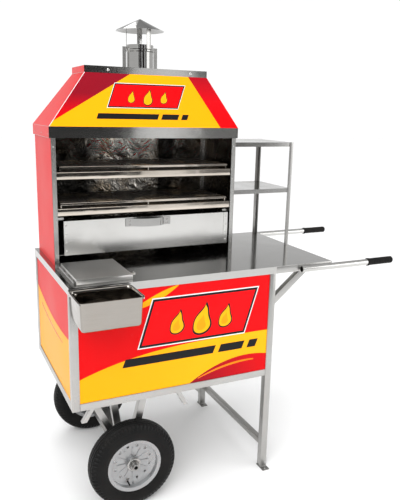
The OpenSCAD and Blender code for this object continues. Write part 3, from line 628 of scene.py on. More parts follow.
def front_prints(deep, red, inks):
    """Films on the front panel.

    The yellow field's crest starts at 0.222 of the panel's height and climbs by 0.205 of it as
    1-(1-u)^3.4. The dark wedge's edge is the parabola 0.232*v - 0.156*v^2, in metres. The arc at
    the top falls short of the panel's edge by 0.082 m and closes on it as 1.45*w - 0.45*w^2.
    Streaks are lenses between such a curve and the same curve less a bulge.
    """
    black, _, _, orange, yellow = inks
    x0, x1, z0, z1 = PANEL[0].x, PANEL[1].x, PANEL[0].z, PANEL[1].z
    wide, high = x1 - x0, z1 - z0
    x = np.linspace(x0, x1, 61)
    u = (x - x0) / wide
    crest = z0 + high * (0.222 + 0.205 * (1 - (1 - u) ** 3.4))
    film_between("front_yellow", x, np.full_like(x, z0), crest, front_plane, LAYER, yellow)

    x = np.linspace(x0 + 0.558 * wide, x1, 41)
    v = (x - x[0]) / (x[-1] - x[0])
    edge = z0 + 0.232 * v - 0.156 * v ** 2
    wedge = print_finish("wedge_red_film", deep, red, "X", (x[0], x1))
    film_between("front_wedge", x, np.full_like(x, z0), edge, front_plane, 2 * LAYER, wedge)
    part = slice(4, 34)
    below = edge - 0.022 * v - 0.016 * bulge(v)
    film_between("front_wedge_streak", x[part], below[part], (below + 0.009 * bulge(v))[part],
                 front_plane, 3 * LAYER, orange)

    x = np.linspace(x0 + 0.26 * wide, x0 + 0.49 * wide, 31)
    w = (x - x[0]) / (x[-1] - x[0])
    arc = z1 - 0.082 + 0.082 * (1.45 * w - 0.45 * w ** 2)
    film_between("front_top_streak", x, np.minimum(arc - 0.026 * bulge(w) - 0.004, z1),
                 np.minimum(arc, z1), front_plane, LAYER, orange)
    film_between("front_top_glow", x, np.minimum(arc - 0.012 * bulge(w) - 0.002, z1),
                 np.minimum(arc - 0.003, z1), front_plane, 2 * LAYER, yellow)
    emblem("front", front_plane, x0 + 0.506, z0 + 0.66 * high, 0.455, 0.176, 0.027, 4 * LAYER,
           inks)
    speed_bars("front", front_plane, x0 + 0.478, z0 + 0.31 * high, 0.60, 0.034, 4 * LAYER, black)


def hood_prints(deep, red, gold, inks):
    """Films on the hood: yellow field, white line painted as a highlight on the left edge, shaded
    wedge, stripe, badge and bars.
    """
    black, white = inks[:2]
    z0, z1 = HOOD[0].z, HOOD[1].z
    z = np.linspace(z0, z1, 41)
    left, right = hood_edges(z)
    hood_film("hood_yellow", left + HOOD_EDGE_HIGHLIGHT, right - MM, z, LAYER,
              print_finish("hood_yellow_film", gold, gold))
    # The white film down the hood's left edge is a painted highlight where light catches the edge.
    hood_film("hood_painted_edge_highlight", left, left + HOOD_EDGE_HIGHLIGHT, z, 2 * LAYER, white)

    foot = z0 + 0.10 * (z1 - z0)
    up = np.linspace(foot, z1, 31)
    start = hood_edges(up)[0] + HOOD_EDGE_HIGHLIGHT
    diagonal = start[0] + (CAP[0].x + 0.190 - start[0]) * (up - foot) / (z1 - foot)
    shade = print_finish("hood_shaded_red", tuple(v * 1.1 for v in red), deep, "Z",
                         (z0 + 0.02, z0 + 0.13))
    hood_film("hood_wedge", start, diagonal, up, 2 * LAYER, shade)
    stripe = right - MM
    hood_film("hood_stripe", stripe - 0.088, stripe, z, 2 * LAYER,
              print_finish("hood_stripe_red", tuple(v * 1.25 for v in red), deep, "Z",
                           (z0 + 0.03, z1 + 0.04)))
    emblem("hood", hood_plane, HOOD[0].x + 0.413, z0 + 0.126, 0.300, 0.086, 0.016, 4 * LAYER,
           inks)
    speed_bars("hood", hood_plane, HOOD[0].x + 0.397, z0 + 0.043, 0.40, 0.022, 4 * LAYER, black)


def side_prints(red, gold):
    """Yellow field of the left panel and the thin red line that follows its edge."""
    y = np.linspace(LEFT[0].y, LEFT[1].y, 41)
    k = (y - y[0]) / (y[-1] - y[0])
    top = LEFT[0].z + 0.252 + 0.052 * k - 0.03 * bulge(k)
    film_between("side_yellow", y, np.full_like(y, LEFT[0].z), top, side_plane, LAYER,
                 print_finish("side_yellow_film", gold, gold, rough=0.3, gloss=0.12), True)
    part = slice(8, 36)
    film_between("side_line", y[part], (top - 0.045 - 0.004 * k)[part],
                 (top - 0.045 + 0.004 * bulge(k))[part], side_plane, 2 * LAYER,
                 print_finish("side_line_red", tuple(v * 0.7 for v in red)), True)


def end_prints(red):
    """Red films on the ends of the band and of the cap."""
    lifted = 0.2 * MM
    ink = print_finish("edge_red_film", red, rough=0.3, gloss=0.2)
    for side, end, out in (("left", 0, -lifted), ("right", 1, lifted)):
        for part, box in (("band", BAND), ("cap", CAP)):
            y, z = np.meshgrid(np.linspace(box[0].y + MM, box[1].y - MM, 9),
                               np.linspace(box[0].z + MM, box[1].z - MM, 5), indexing="ij")
            pts = np.stack([np.full_like(y, box[end].x + out), y, z], -1)
            faces = grid_faces(*y.shape)
            film_finish(make_piece(f"{part}_{side}_print", pts,
                                   faces[:, ::-1] if side == "left" else faces, ink, "cart",
                                   "printed_red", False))


class CART_OT_prints(bpy.types.Operator):
    """Printed films on the cabinet, hood, band and cap."""

    bl_idname = "cart.prints"
    bl_label = "Printed films"

    def execute(self, context):
        c = colours()
        red, deep, gold, warm = (tuple(v) for v in (c.red, c.deep_red, c.yellow, c.orange))
        yellow = print_finish("yellow_film", gold, tuple(min(1, v * 1.12 + 0.004) for v in gold),
                              "X", (PANEL[0].x, PANEL[1].x))
        orange = print_finish("orange_film", warm, gold, "Z", (PANEL[0].z, PANEL[1].z))
        white = print_finish("white_film", (0.85, 0.85, 0.85))
        black = print_finish("black_film", (0.012, 0.012, 0.013))
        bright = print_finish("bright_red_film", tuple(min(1, v * 1.28) for v in red))
        inks = (black, white, bright, orange, yellow)
        front_prints(deep, red, inks)
        hood_prints(deep, red, gold, inks)
        side_prints(red, gold)
        end_prints(red)
        return {"FINISHED"}


# ---------------------------------------------------------------- tyres and wheel details


def tyre_profile():
    """Half-tyre outline from the bead over the sidewall to the crown, as (axial, radius).

    A line through the key points is cut into even steps and smoothed with weights 1, 2, 1.
    """
    keys = np.array([[33, 102], [36.2, 113], [39.5, 121], [42.2, 133], [42.6, 147], [41.0, 160],
                     [37.0, 171], [31.0, 177.5], [20, 181.5], [8, 183.3], [0, 183.6]]) * MM
    s = np.concatenate([[0], np.cumsum(np.hypot(*np.diff(keys, axis=0).T))])
    fine = np.linspace(0, s[-1], 57)
    p = np.stack([np.interp(fine, s, keys[:, k]) for k in (0, 1)], -1)
    smooth = p.copy()
    for _ in range(3):
        smooth[1:-1] = (smooth[:-2] + 2 * smooth[1:-1] + smooth[2:]) / 4
    return smooth


def soft_step(x, a, b):
    """Smooth rise from 0 at a to 1 at b."""
    t = np.clip((x - a) / (b - a), 0, 1)
    return t * t * (3 - 2 * t)


class CART_OT_tyres(bpy.types.Operator):
    """Tyres: the outline is turned about the axle and cut where the tread needs it.

    Four wavy grooves and the rings on the sidewalls are bell curves exp(-x^2) across the outline,
    and the shoulder is notched once in each block.
    """

    bl_idname = "cart.tyres"
    bl_label = "Tyres"

    def execute(self, context):
        half = tyre_profile()
        outer = np.concatenate([half, (half * [-1, 1])[::-1][1:]])
        blocks = sizes().shoulder_blocks
        turn = np.linspace(0, 2 * math.pi, 6 * blocks, endpoint=False)[:, None]
        a, r = outer[None, :, 0], outer[None, :, 1]
        crown = soft_step(r, 0.160, 0.174)
        zig = 1.2 * MM * np.sin(turn * blocks / 2)
        grooves = sum(np.exp(-((a - c * MM - zig) / (1.9 * MM)) ** 2) for c in (-22, -7.5, 7.5, 22))
        tooth = 0.5 - 0.5 * np.cos(turn * blocks)
        shoulder = soft_step(np.abs(a), 0.028, 0.031) * soft_step(r, 0.158, 0.166)
        notch = shoulder * soft_step(tooth, 0.62, 0.9)
        rings = sum(np.exp(-((r - q) / 0.0011) ** 2) for q in (0.119, 0.128, 0.150))
        radius = r - 4.2 * MM * grooves * crown - 4.6 * MM * notch
        axial = a + np.sign(a) * (0.7 * MM * rings * (1 - crown) - 2.6 * MM * notch)
        axial = np.clip(axial, -0.0428, 0.0428)
        radius = np.broadcast_to(radius, np.broadcast_shapes(radius.shape, turn.shape))
        axial = np.broadcast_to(axial, radius.shape)
        # Two more rows close the tyre on its inside.
        axial = np.concatenate([axial, np.tile([-0.026, 0.026], (len(turn), 1))], 1)
        radius = np.concatenate([radius, np.full((len(turn), 2), 0.108)], 1)
        rubber = rubber_finish("tyre_rubber", 0.04, 0.40)
        for node, body in (("tyre_front", "front_wheel"), ("tyre_rear", "rear_wheel")):
            lo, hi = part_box(node)
            cx, cy, cz = (lo + hi) / 2
            pts = np.stack([cx + radius * np.cos(turn), cy + axial,
                            cz + radius * np.sin(turn)], -1)
            obj = make_piece(f"{node}_tread", pts,
                             grid_faces(*radius.shape, close_rows=True, close_cols=True),
                             rubber, body, "tyre", replaces=[node])
            outward(obj)
        return {"FINISHED"}


def turned(profile, centre, axis_out, n=40):
    """Surface of revolution about a line along Y: profile rows are (radius, distance outwards)."""
    t = np.linspace(0, 2 * math.pi, n, endpoint=False)[:, None]
    r, h = profile[None, :, 0], profile[None, :, 1]
    return np.stack([centre[0] + r * np.cos(t), centre[1] + axis_out * h + 0 * t,
                     centre[2] + r * np.sin(t)], -1)


class CART_OT_wheel_details(bpy.types.Operator):
    """Valves and bearing dust rings on both wheels."""

    bl_idname = "cart.wheel_details"
    bl_label = "Valves and hub rings"

    def execute(self, context):
        rubber = rubber_finish("valve_rubber", 0.1, 0.5)
        ring_steel = steel_finish("hub_ring_steel", 0.75, (0.2, 0.36), (20, 20, 20), 0.03, 0.3)
        stem = np.array([[0, 0], [4.2, 0], [4.2, 2], [3.4, 3], [3.2, 16], [2.4, 17], [2.4, 21],
                         [3.0, 21.4], [3.0, 27], [2.2, 28], [0, 28]]) * MM
        ring = np.array([[20.5, 24], [20.5, 26.2], [22, 27.4], [25.5, 27.4], [28.4, 25.6],
                         [28.6, 18], [27, 18], [20.5, 24]]) * MM
        for body, node, out in (("front_wheel", "wheel_front", -1), ("rear_wheel", "wheel_rear", 1)):
            lo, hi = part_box(node)
            mid = (lo + hi) / 2
            foot = (mid.x - 0.022, mid.y + out * 7 * MM, mid.z - 0.083)
            pts = turned(stem, foot, out, 20)
            outward(make_piece(f"valve_{body}", pts, grid_faces(20, len(stem), close_rows=True),
                               rubber, body, "tyre"))
            pts = turned(ring, mid, out, 64)
            obj = make_piece(f"hub_ring_{body}", pts, grid_faces(64, len(ring), close_rows=True),
                             ring_steel, body, "axle_steel")
            outward(obj)
            split_smooth(obj)
        return {"FINISHED"}


# ---------------------------------------------------------------- trays, drawer handle and pan


def expanded(x0, x1, y0, y1, z):
    """Expanded sheet: zigzag strands, next ones in opposite phase, sagging in slow waves."""
    s = sizes()
    cells = max(2, round((x1 - x0) / s.mesh_long))
    rows = max(2, round((y1 - y0) / (s.mesh_short / 2)))
    px, py = (x1 - x0) / cells, (y1 - y0) / rows
    i = np.arange(2 * cells + 1)
    j = np.arange(rows)
    swing = np.where((i[None] + j[:, None]) % 2 == 0, 0.5, -0.5) * (py - s.strand * 0.35)
    x = x0 + i * px / 2
    y = y0 + (j[:, None] + 0.5) * py + swing
    w, h = s.strand / 2, 0.7 * MM
    corner = np.array([[-w, -h], [w, -h], [w, h], [-w, h]])
    sag = 2.4 * MM * (0.5 - 0.5 * np.cos(6 * math.pi * (x - x0) / (x1 - x0)))
    sag = sag * np.sin(math.pi * (y - y0) / (y1 - y0))
    pts = np.stack([np.broadcast_to(x[None, :, None], (*y.shape, 4)),
                    y[..., None] + corner[:, 0], z - sag[..., None] + corner[:, 1]], -1)
    one = capped(len(i), 4)
    faces = one[None] + (len(i) * 4 * j)[:, None, None]
    return pts.reshape(-1, 3), faces.reshape(-1, 4)


def folded(profile, x0, x1, t):
    """Folded strip: a line of (y, z) points given a wall t and drawn out along X."""
    p = np.asarray(profile, float)
    d = np.gradient(p, axis=0)
    d /= np.linalg.norm(d, axis=1)[:, None]
    normal = np.stack([-d[:, 1], d[:, 0]], -1)
    loop = np.concatenate([p, (p + normal * t)[::-1]])
    pts = np.stack([np.column_stack([np.full(len(loop), x), loop]) for x in (x0, x1)])
    return pts, capped(2, len(loop))


def tray_edges(lo, hi, low_deck, deck):
    """Rolled front edge, lip of the upper sheet, borders of both sheets and three stays."""
    quarter = np.linspace(0, math.pi / 2, 5)
    roll = 2.6 * MM
    y, z = lo.y + 3 * MM, lo.z + 3 * MM
    hem = [(lo.y + 14 * MM, z - roll), (y, z - roll)]
    hem += [(y - roll * math.sin(a), z - roll * math.cos(a)) for a in quarter]
    z = low_deck - 3 * MM
    hem += [(y - roll * math.cos(a), z + roll * math.sin(a)) for a in quarter]
    hem += [(lo.y + 14 * MM, z + roll)]

    inset, fold = 14 * MM, 1.5 * MM
    y, z = lo.y + 9.5 * MM, deck - 1.7 * MM
    lip = [(lo.y + 20 * MM, z + fold), (y, z + fold)]
    lip += [(y - fold * math.sin(a), z + fold * math.cos(a)) for a in quarter]
    lip += [(y - fold, deck - 9 * MM)]

    low, high = [], []
    for z, edge, wide in ((low_deck, 0, 7 * MM), (deck, inset, 6 * MM)):
        for x in (lo.x + edge, hi.x - edge - wide):
            low.append((x, lo.y + 13 * MM, z - 1.8 * MM))
            high.append((x + wide, hi.y - 2 * MM, z - 0.2 * MM))
    for z, edge in ((low_deck, 0), (deck, inset)):
        low.append((lo.x + edge, hi.y - 12 * MM, z - 1.8 * MM))
        high.append((hi.x - edge, hi.y - 2 * MM, z - 0.2 * MM))
    for x in (lo.x + 16 * MM, (lo.x + hi.x) / 2, hi.x - 19 * MM):
        low.append((x, lo.y + 14 * MM, low_deck))
        high.append((x + 3 * MM, hi.y - 8 * MM, deck - 1.0 * MM))
    return joined([folded(hem, lo.x, hi.x, -1.2 * MM),
                   folded(lip, lo.x + inset, hi.x - inset, 1.1 * MM), bars(low, high)])


class CART_OT_trays(bpy.types.Operator):
    """The two drawn-out trays: expanded sheets in folded borders with a deep front edge."""

    bl_idname = "cart.trays"
    bl_label = "Trays"

    def execute(self, context):
        net = soot_finish("tray_net", (0.085, 0.08, 0.075), (0.20, 0.34), 0.1, 0.5)
        edge = steel_finish("tray_edge", 1.0, (0.05, 0.13), (1, 45, 45), 0.14, 0.25,
                            (0.66, 0.60, 0.53), wave_scale=5.0)
        for node, body in (("upper_grate", "upper_tray"), ("lower_grate", "lower_tray")):
            lo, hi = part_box(node)
            deck = hi.z - 1 * MM
            low_deck = deck - 22 * MM
            nets = [expanded(lo.x + 5 * MM, hi.x - 5 * MM, lo.y + 12 * MM, hi.y - 4 * MM,
                             low_deck - 1 * MM),
                    expanded(lo.x + 17 * MM, hi.x - 17 * MM, lo.y + 12 * MM, hi.y - 10 * MM, deck)]
            make_piece(f"{node}_net", *joined(nets), net, body, "grate_steel", False,
                       replaces=[node])
            obj = make_piece(f"{node}_edges", *tray_edges(lo, hi, low_deck, deck), edge, body,
                             "grate_steel", True)
            outward(obj)
            split_smooth(obj, 30)
        return {"FINISHED"}


class CART_OT_drawer_handle(bpy.types.Operator):
    """Strap handle: flat pads and a bowed middle that follows sin(t)^0.6, smoothed twice.

    Its section is (3*cos, 1.35*sin) cut off at 1, so it's flat with small round corners.
    """

    bl_idname = "cart.drawer_handle"
    bl_label = "Drawer handle"

    def execute(self, context):
        lo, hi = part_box("drawer_handle")
        thick, pad = 2.6 * MM, 34 * MM
        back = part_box("drawer_front")[0].y + 2.1 * MM
        x = np.linspace(lo.x, hi.x, 97)
        u = np.clip((x - lo.x - pad) / (hi.x - lo.x - 2 * pad), 0, 1)
        bow = (hi.y - lo.y - thick - 0.4 * MM) * np.sin(math.pi * u) ** 0.6
        for _ in range(2):
            bow[1:-1] = (bow[:-2] + 2 * bow[1:-1] + bow[2:]) / 4
        path = np.stack([x, back - thick / 2 - bow, np.full_like(x, (lo.z + hi.z) / 2)], -1)
        along_x = np.gradient(path, axis=0)
        along_x /= np.linalg.norm(along_x, axis=1)[:, None]
        side = np.stack([along_x[:, 1], -along_x[:, 0], 0 * x], -1)
        a = np.linspace(0, 2 * math.pi, 24, endpoint=False)
        section = np.stack([thick / 2 * np.clip(3 * np.cos(a), -1, 1),
                            (hi.z - lo.z) / 2 * np.clip(1.35 * np.sin(a), -1, 1)], -1)
        shine = steel_finish("strap_handle_steel", 0.70, (0.05, 0.12), (1, 40, 40), 0.05)
        obj = make_piece("strap_handle", swept(path, side, (0, 0, 1), section), capped(97, 24),
                         shine, "drawer", "polished_steel", replaces=["drawer_handle"])
        outward(obj)
        split_smooth(obj, 40)
        heads = []
        dome = np.array([[0, 3.1], [1.6, 3.0], [3.2, 2.2], [4.0, 0.9], [4.1, 0.0], [0, 0]]) * MM
        for px in (lo.x + pad / 2, hi.x - pad / 2):
            for pz in (lo.z + 9 * MM, hi.z - 9 * MM):
                heads.append((turned(dome, (px, back - thick, pz), -1, 24),
                              grid_faces(24, len(dome), close_rows=True)))
        outward(make_piece("strap_handle_screws", *joined(heads), shine, "drawer",
                           "polished_steel"))
        return {"FINISHED"}


class CART_OT_pan(bpy.types.Operator):
    """Pressed pan: rounded-rectangle rings carried along the outline of its wall.

    Each ring is (inset in X, inset in Y, height, pull), and pull draws it in to the middle.
    """

    bl_idname = "cart.pan"
    bl_label = "Hanging pan"

    def execute(self, context):
        lo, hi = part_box("front_pan")
        cx, cy = (lo.x + hi.x) / 2, (lo.y + hi.y) / 2
        w, d, top, foot = (hi.x - lo.x) / 2, (hi.y - lo.y) / 2, hi.z, lo.z
        n = 24
        a = (np.arange(4 * n) + 0.5) / (4 * n) * 2 * math.pi
        quarter = np.floor(a / (math.pi / 2)).astype(int)
        sx = np.array([1, -1, -1, 1])[quarter]
        sy = np.array([1, 1, -1, -1])[quarter]
        down = np.linspace(0, 1, 10)
        bend = np.linspace(0.2, math.pi / 2, 6)
        deep = top - foot - 15 * MM
        outline = [(0.8 * MM, 0.8 * MM, top - 1.2 * MM, 1), (0, 0, top - 0.7 * MM, 1),
                   (0.8 * MM, 0.8 * MM, top - 0.1 * MM, 1), (5.5 * MM, 3.8 * MM, top - 0.6 * MM, 1)]
        outline += [((7.8 + 4 * t) * MM, (5.0 + 4 * t) * MM, top - 2 * MM - deep * t, 1)
                    for t in down]
        outline += [((11.8 + 10 * (1 - math.cos(q))) * MM, (9.0 + 10 * (1 - math.cos(q))) * MM,
                     foot + 13 * MM - 11.8 * MM * math.sin(q), 1) for q in bend]
        outline += [(21.8 * MM, 19.0 * MM, foot + 1.2 * MM, p) for p in (0.6, 0.25, 0.0)]
        outline += [(21.8 * MM, 19.0 * MM, foot + 0.1 * MM, p) for p in (0.0, 0.25, 0.6, 1.0)]
        outline += [((10.8 + 10 * (1 - math.cos(q))) * MM, (8.0 + 10 * (1 - math.cos(q))) * MM,
                     foot + 12 * MM - 11.9 * MM * math.sin(q), 1) for q in bend[::-1]]
        outline += [((6.8 + 4 * t) * MM, (4.0 + 4 * t) * MM, top - 3 * MM - deep * t, 1)
                    for t in down[::-1]]
        outline.append((6.6 * MM, 3.9 * MM, top - 1.3 * MM, 1))
        rows = []
        for inset_x, inset_y, z, pull in outline:
            r = max(15 * MM - inset_y * 0.3, 6 * MM)
            x = sx * (w - inset_x - r) + r * np.cos(a)
            y = sy * (d - inset_y - r) + r * np.sin(a)
            rows.append(np.stack([cx + x * pull, cy + y * pull, np.full_like(x, z)], -1))
        pts = np.array(rows)
        # The low tint of 0.54 is a painted dark reflection of what the pan faces; the warm grey tone
        # and the stains are the pan's own.
        steel = steel_finish("pan_steel_painted_reflection", 0.54, (0.07, 0.16), (1, 30, 30), 0.30, 0.25,
                             (0.66, 0.62, 0.57), (0.30, 0.25, 0.20), 9.0)
        obj = make_piece("pressed_pan", pts, grid_faces(len(rows), 4 * n, True, True), steel,
                         "pan", "polished_steel", replaces=["front_pan"])
        outward(obj)
        dome = np.array([[0, 3.4], [2.2, 3.1], [4.2, 2.0], [5.2, 0.6], [5.2, 0.0], [0, 0]]) * MM
        spot = (lo.x + 28 * MM, hi.y - 5.5 * MM, top - 16 * MM)
        outward(make_piece("pan_bolt", turned(dome, spot, -1, 24),
                           grid_faces(24, len(dome), close_rows=True), steel, "pan",
                           "polished_steel"))
        return {"FINISHED"}


# ---------------------------------------------------------------- small fittings


def weld_bead(points, radius):
    """Row of overlapping round scales along a line: a tube whose radius ripples."""
    p = np.asarray(points, float)
    length = np.linalg.norm(p[1] - p[0])
    n = max(6, int(length / (1.1 * MM)))
    t = np.linspace(0, 1, n)[:, None]
    path = p[0] * (1 - t) + p[1] * t
    d = (p[1] - p[0]) / length
    side = np.cross(d, (0.31, 0.52, 0.79))
    side /= np.linalg.norm(side)
    up = np.cross(d, side)
    a = np.linspace(0, 2 * math.pi, 8, endpoint=False)
    swell = radius * (1 + 0.22 * np.sin(np.arange(n) * 1.9))[:, None] * (
        0.25 + 0.75 * np.sin(math.pi * t) ** 0.3)
    ring = swell[..., None] * (np.cos(a)[None, :, None] * side + np.sin(a)[None, :, None] * up)
    return path[:, None] + ring, capped(n, 8)


def tube_faces(box, wide):
    """Y of the four side faces of two tubes that stand at the front and back of a box."""
    return box[0].y, box[0].y + wide, box[1].y - wide, box[1].y


def rivets(dome, xs, y, zs, n=20):
    """Heads in upright rows on a face that looks to the front."""
    return [(turned(dome, (x, y, z), -1, n), grid_faces(n, len(dome), close_rows=True))
            for z in zs for x in xs]


class CART_OT_fittings(bpy.types.Operator):
    """Weld beads on the frame, and rivets on the band, posts, uprights and drawer."""

    bl_idname = "cart.fittings"
    bl_label = "Welds and rivets"

    def execute(self, context):
        legs, rails, arms, braces, tie, struts, feet = (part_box(node) for node in (
            "right_legs", "bottom_rails", "extension_arms", "handle_braces", "leg_tie_bar",
            "axle_struts", "foot_plates"))
        tube, brace, strut_gap = 30 * MM, 25 * MM, 222 * MM
        lines = []
        for y in (legs[0].y, legs[1].y):
            for x in (legs[0].x, rails[0].x + tube):
                lines.append(((x, y, rails[0].z), (x, y, rails[1].z), 1.4 * MM))
        for y in tube_faces(braces, brace):
            lines.append(((arms[0].x, y, braces[0].z), (arms[0].x, y, braces[0].z + 37 * MM),
                          1.5 * MM))
            lines.append(((braces[1].x - 44 * MM, y, braces[1].z), (braces[1].x, y, braces[1].z),
                          1.5 * MM))
        for y in (tie[0].y, tie[1].y):
            for z in (tie[0].z, tie[1].z):
                lines.append(((tie[0].x, y, z), (tie[1].x, y, z), 1.4 * MM))
        for y in tube_faces(struts, tube):
            for x in (struts[0].x, struts[0].x + strut_gap):
                lines.append(((x, y, struts[1].z), (x + tube, y, struts[1].z), 1.5 * MM))
        for y in tube_faces(legs, tube):
            lines.append(((legs[0].x, y, feet[1].z), (legs[1].x, y, feet[1].z), 1.6 * MM))
        weld = steel_finish("weld_steel", 0.70, (0.26, 0.46), (15, 15, 15), 0.05, 0.4,
                            dirt=(0.16, 0.12, 0.16))
        beads = [weld_bead((start, end), radius) for start, end, radius in lines]
        outward(make_piece("weld_beads", *joined(beads), weld, "cart", "frame_steel"))

        dome = np.array([[0, 1.6], [1.4, 1.5], [2.6, 0.9], [3.0, 0.0], [0, 0]]) * MM
        t = np.linspace(0, 2 * math.pi, 20, endpoint=False)[:, None]
        r, h = dome[None, :, 0], dome[None, :, 1]
        heads = []
        for back in (12 * MM, 150 * MM, 300 * MM):
            pts = np.stack([BAND[0].x - 0.3 * MM - h + 0 * t, BAND[0].y + back + r * np.cos(t),
                            BAND[0].z + 16 * MM + r * np.sin(t)], -1)
            heads.append((pts, grid_faces(20, len(dome), close_rows=True)))
        lo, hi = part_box("roaster_uprights")
        heads += rivets(dome, (lo.x + 9 * MM, hi.x - 9 * MM), lo.y,
                        np.linspace(lo.z + 45 * MM, hi.z - 35 * MM, 4))
        lo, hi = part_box("left_posts")
        heads += rivets(dome, (lo.x + tube / 2,), lo.y, (hi.z - 72 * MM, hi.z - 140 * MM))
        screw = steel_finish("rivet_steel", 1.0, (0.14, 0.25), (20, 20, 20), 0.02)
        outward(make_piece("rivets", *joined(heads), screw, "cart", "polished_steel"))
        lo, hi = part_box("drawer_front")
        heads = rivets(dome * 0.8, (lo.x + 9 * MM, hi.x - 9 * MM), lo.y,
                       np.linspace(lo.z + 18 * MM, hi.z - 18 * MM, 4), 16)
        outward(make_piece("drawer_rivets", *joined(heads), screw, "drawer", "polished_steel"))
        return {"FINISHED"}


# ---------------------------------------------------------------- stage


CAMERA_PLACE = (-1.2849, -2.3273, 1.6021)
CAMERA_TURN = 25.63          # degrees from +Y towards +X
CAMERA_TILT = -13.35         # degrees below level
CAMERA_ROLL = 1.37           # degrees
CAMERA_LENS = 42.42          # millimetres on a 36 mm wide sensor

# Left edge, right edge and grey of each dark card before the cart, which its steel reflects.
DARK_CARDS = ((-3.3, -2.35, 0.02), (-2.15, -0.9, 0.02), (-0.35, 1.15, 0.02), (1.95, 3.3, 0.20))


def area_light(name, place, target, size, energy, tint=(1, 1, 1)):
    """Soft rectangular light aimed at a target."""
    data = bpy.data.lights.new(name, "AREA")
    data.shape = "RECTANGLE"
    data.size, data.size_y = size
    data.energy = energy
    data.color = tint
    obj = bpy.data.objects.new(name, data)
    obj.location = place
    aim = Vector(target) - Vector(place)
    obj.rotation_euler = aim.to_track_quat("-Z", "Y").to_euler()
    bpy.context.scene.collection.objects.link(obj)
    return obj


def stage_sheet(name, pts, material):
    """Square grid of points as a sheet of the stage."""
    mesh = bpy.data.meshes.new(name)
    mesh.from_pydata(pts.reshape(-1, 3).tolist(), [], grid_faces(*pts.shape[:2]).tolist())
    mesh.materials.append(material)
    obj = bpy.data.objects.new(name, mesh)
    bpy.context.scene.collection.objects.link(obj)
    return obj


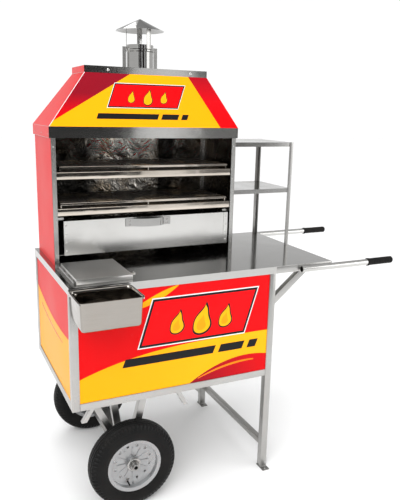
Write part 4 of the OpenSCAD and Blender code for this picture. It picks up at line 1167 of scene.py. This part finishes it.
class CART_OT_stage(bpy.types.Operator):
    """Pale floor, soft light, dark cards that only reflections show, and the camera."""

    bl_idname = "cart.stage"
    bl_label = "Stage"

    def execute(self, context):
        x, y = np.meshgrid(np.linspace(-30, 30, 31), np.linspace(-30, 30, 31), indexing="ij")
        mat, tree, shader = new_material("pale_floor", (0.93, 0.93, 0.93), 0.0, 0.7)
        tree.links.new(ramp(tree, noise(tree, 1.5), [(0.3, 0.92), (0.7, 0.94)]),
                       shader.inputs["Base Color"])
        stage_sheet("floor", np.stack([x, y, np.zeros_like(x)], -1), mat)

        world = bpy.data.worlds.new("studio")
        world.use_nodes = True
        tree = world.node_tree
        coord = tree.nodes.new("ShaderNodeTexCoord")
        split = tree.nodes.new("ShaderNodeSeparateXYZ")
        tree.links.new(coord.outputs["Generated"], split.inputs["Vector"])
        height = tree.nodes.new("ShaderNodeMapRange")
        height.inputs["From Min"].default_value = -0.35
        height.inputs["From Max"].default_value = 1.0
        tree.links.new(split.outputs["Z"], height.inputs["Value"])
        sky = ramp(tree, height.outputs["Result"],
                   [(0.0, 0.80), (0.17, 0.94), (0.26, 1.0), (0.38, 1.0), (0.42, 0.60),
                    (0.50, 0.50), (0.70, 0.30), (0.85, 0.70), (1.0, 1.0)])
        background = tree.nodes["Background"]
        tree.links.new(sky, background.inputs["Color"])
        background.inputs["Strength"].default_value = 1.05
        bpy.context.scene.world = world

        sun = bpy.data.lights.new("ceiling", "SUN")
        sun.energy = 1.75
        sun.angle = math.radians(70)
        ceiling = bpy.data.objects.new("ceiling", sun)
        ceiling.rotation_euler = Vector((0.30, 0.42, -1.0)).to_track_quat("-Z", "Y").to_euler()
        bpy.context.scene.collection.objects.link(ceiling)
        area_light("key", (-2.6, -3.4, 3.6), (0, 0, 1.0), (2.4, 2.4), 90)
        area_light("fill", (3.6, -2.8, 2.2), (0.2, 0, 0.9), (2.4, 3.0), 45)
        area_light("back", (-0.6, 3.2, 4.6), (0, 0, 1.0), (2.0, 1.6), 30)

        for i, (xa, xb, grey) in enumerate(DARK_CARDS):
            x, z = np.meshgrid(np.linspace(xa, xb, 5), np.linspace(0.55, 2.8, 5), indexing="ij")
            card = stage_sheet(f"dark_card_{i}", np.stack([x, np.full_like(x, -4.6), z], -1),
                               new_material(f"card_{i}", (grey,) * 3, 0.0, 0.9)[0])
            card.visible_camera = False
            card.visible_shadow = False
            card.visible_diffuse = False

        cam = bpy.data.cameras.new("camera")
        cam.sensor_fit = "AUTO"
        cam.sensor_width = 36
        cam.lens = CAMERA_LENS
        cam.clip_start, cam.clip_end = 0.05, 100
        obj = bpy.data.objects.new("camera", cam)
        obj.location = CAMERA_PLACE
        turn = Matrix.Rotation(math.radians(-CAMERA_TURN), 4, "Z")
        tilt = Matrix.Rotation(math.radians(90 + CAMERA_TILT), 4, "X")
        roll = Matrix.Rotation(math.radians(CAMERA_ROLL), 4, "Z")
        obj.rotation_euler = (turn @ tilt @ roll).to_euler()
        bpy.context.scene.collection.objects.link(obj)
        bpy.context.scene.camera = obj
        bpy.context.scene.view_settings.view_transform = "Standard"
        return {"FINISHED"}


OPERATORS = (CART_OT_frame, CART_OT_prints, CART_OT_tyres, CART_OT_wheel_details, CART_OT_trays,
             CART_OT_drawer_handle, CART_OT_pan, CART_OT_fittings, CART_OT_stage)


class CART_PT_panel(bpy.types.Panel):
    """Buttons and settings of the cart."""

    bl_label = "Push Vending Cart"
    bl_idname = "CART_PT_panel"
    bl_space_type = "VIEW_3D"
    bl_region_type = "UI"
    bl_category = "Cart"

    def draw(self, context):
        layout = self.layout
        for group in (context.scene.cart_colours, context.scene.cart_sizes):
            for name in group.__annotations__:
                layout.prop(group, name)
        for op in OPERATORS:
            layout.operator(op.bl_idname)


CLASSES = (CartColours, CartSizes, *OPERATORS, CART_PT_panel)


def register():
    """Register the classes and hang the settings on the scene."""
    for cls in CLASSES:
        bpy.utils.register_class(cls)
    bpy.types.Scene.cart_colours = bpy.props.PointerProperty(type=CartColours)
    bpy.types.Scene.cart_sizes = bpy.props.PointerProperty(type=CartSizes)


def unregister():
    """Undo register."""
    del bpy.types.Scene.cart_colours
    del bpy.types.Scene.cart_sizes
    for cls in reversed(CLASSES):
        bpy.utils.unregister_class(cls)


def main():
    """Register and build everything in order."""
    register()
    bpy.ops.cart.frame()
    bpy.ops.cart.prints()
    bpy.ops.cart.tyres()
    bpy.ops.cart.wheel_details()
    bpy.ops.cart.trays()
    bpy.ops.cart.drawer_handle()
    bpy.ops.cart.pan()
    bpy.ops.cart.fittings()
    bpy.ops.cart.stage()


if __name__ == "__main__":
    main()
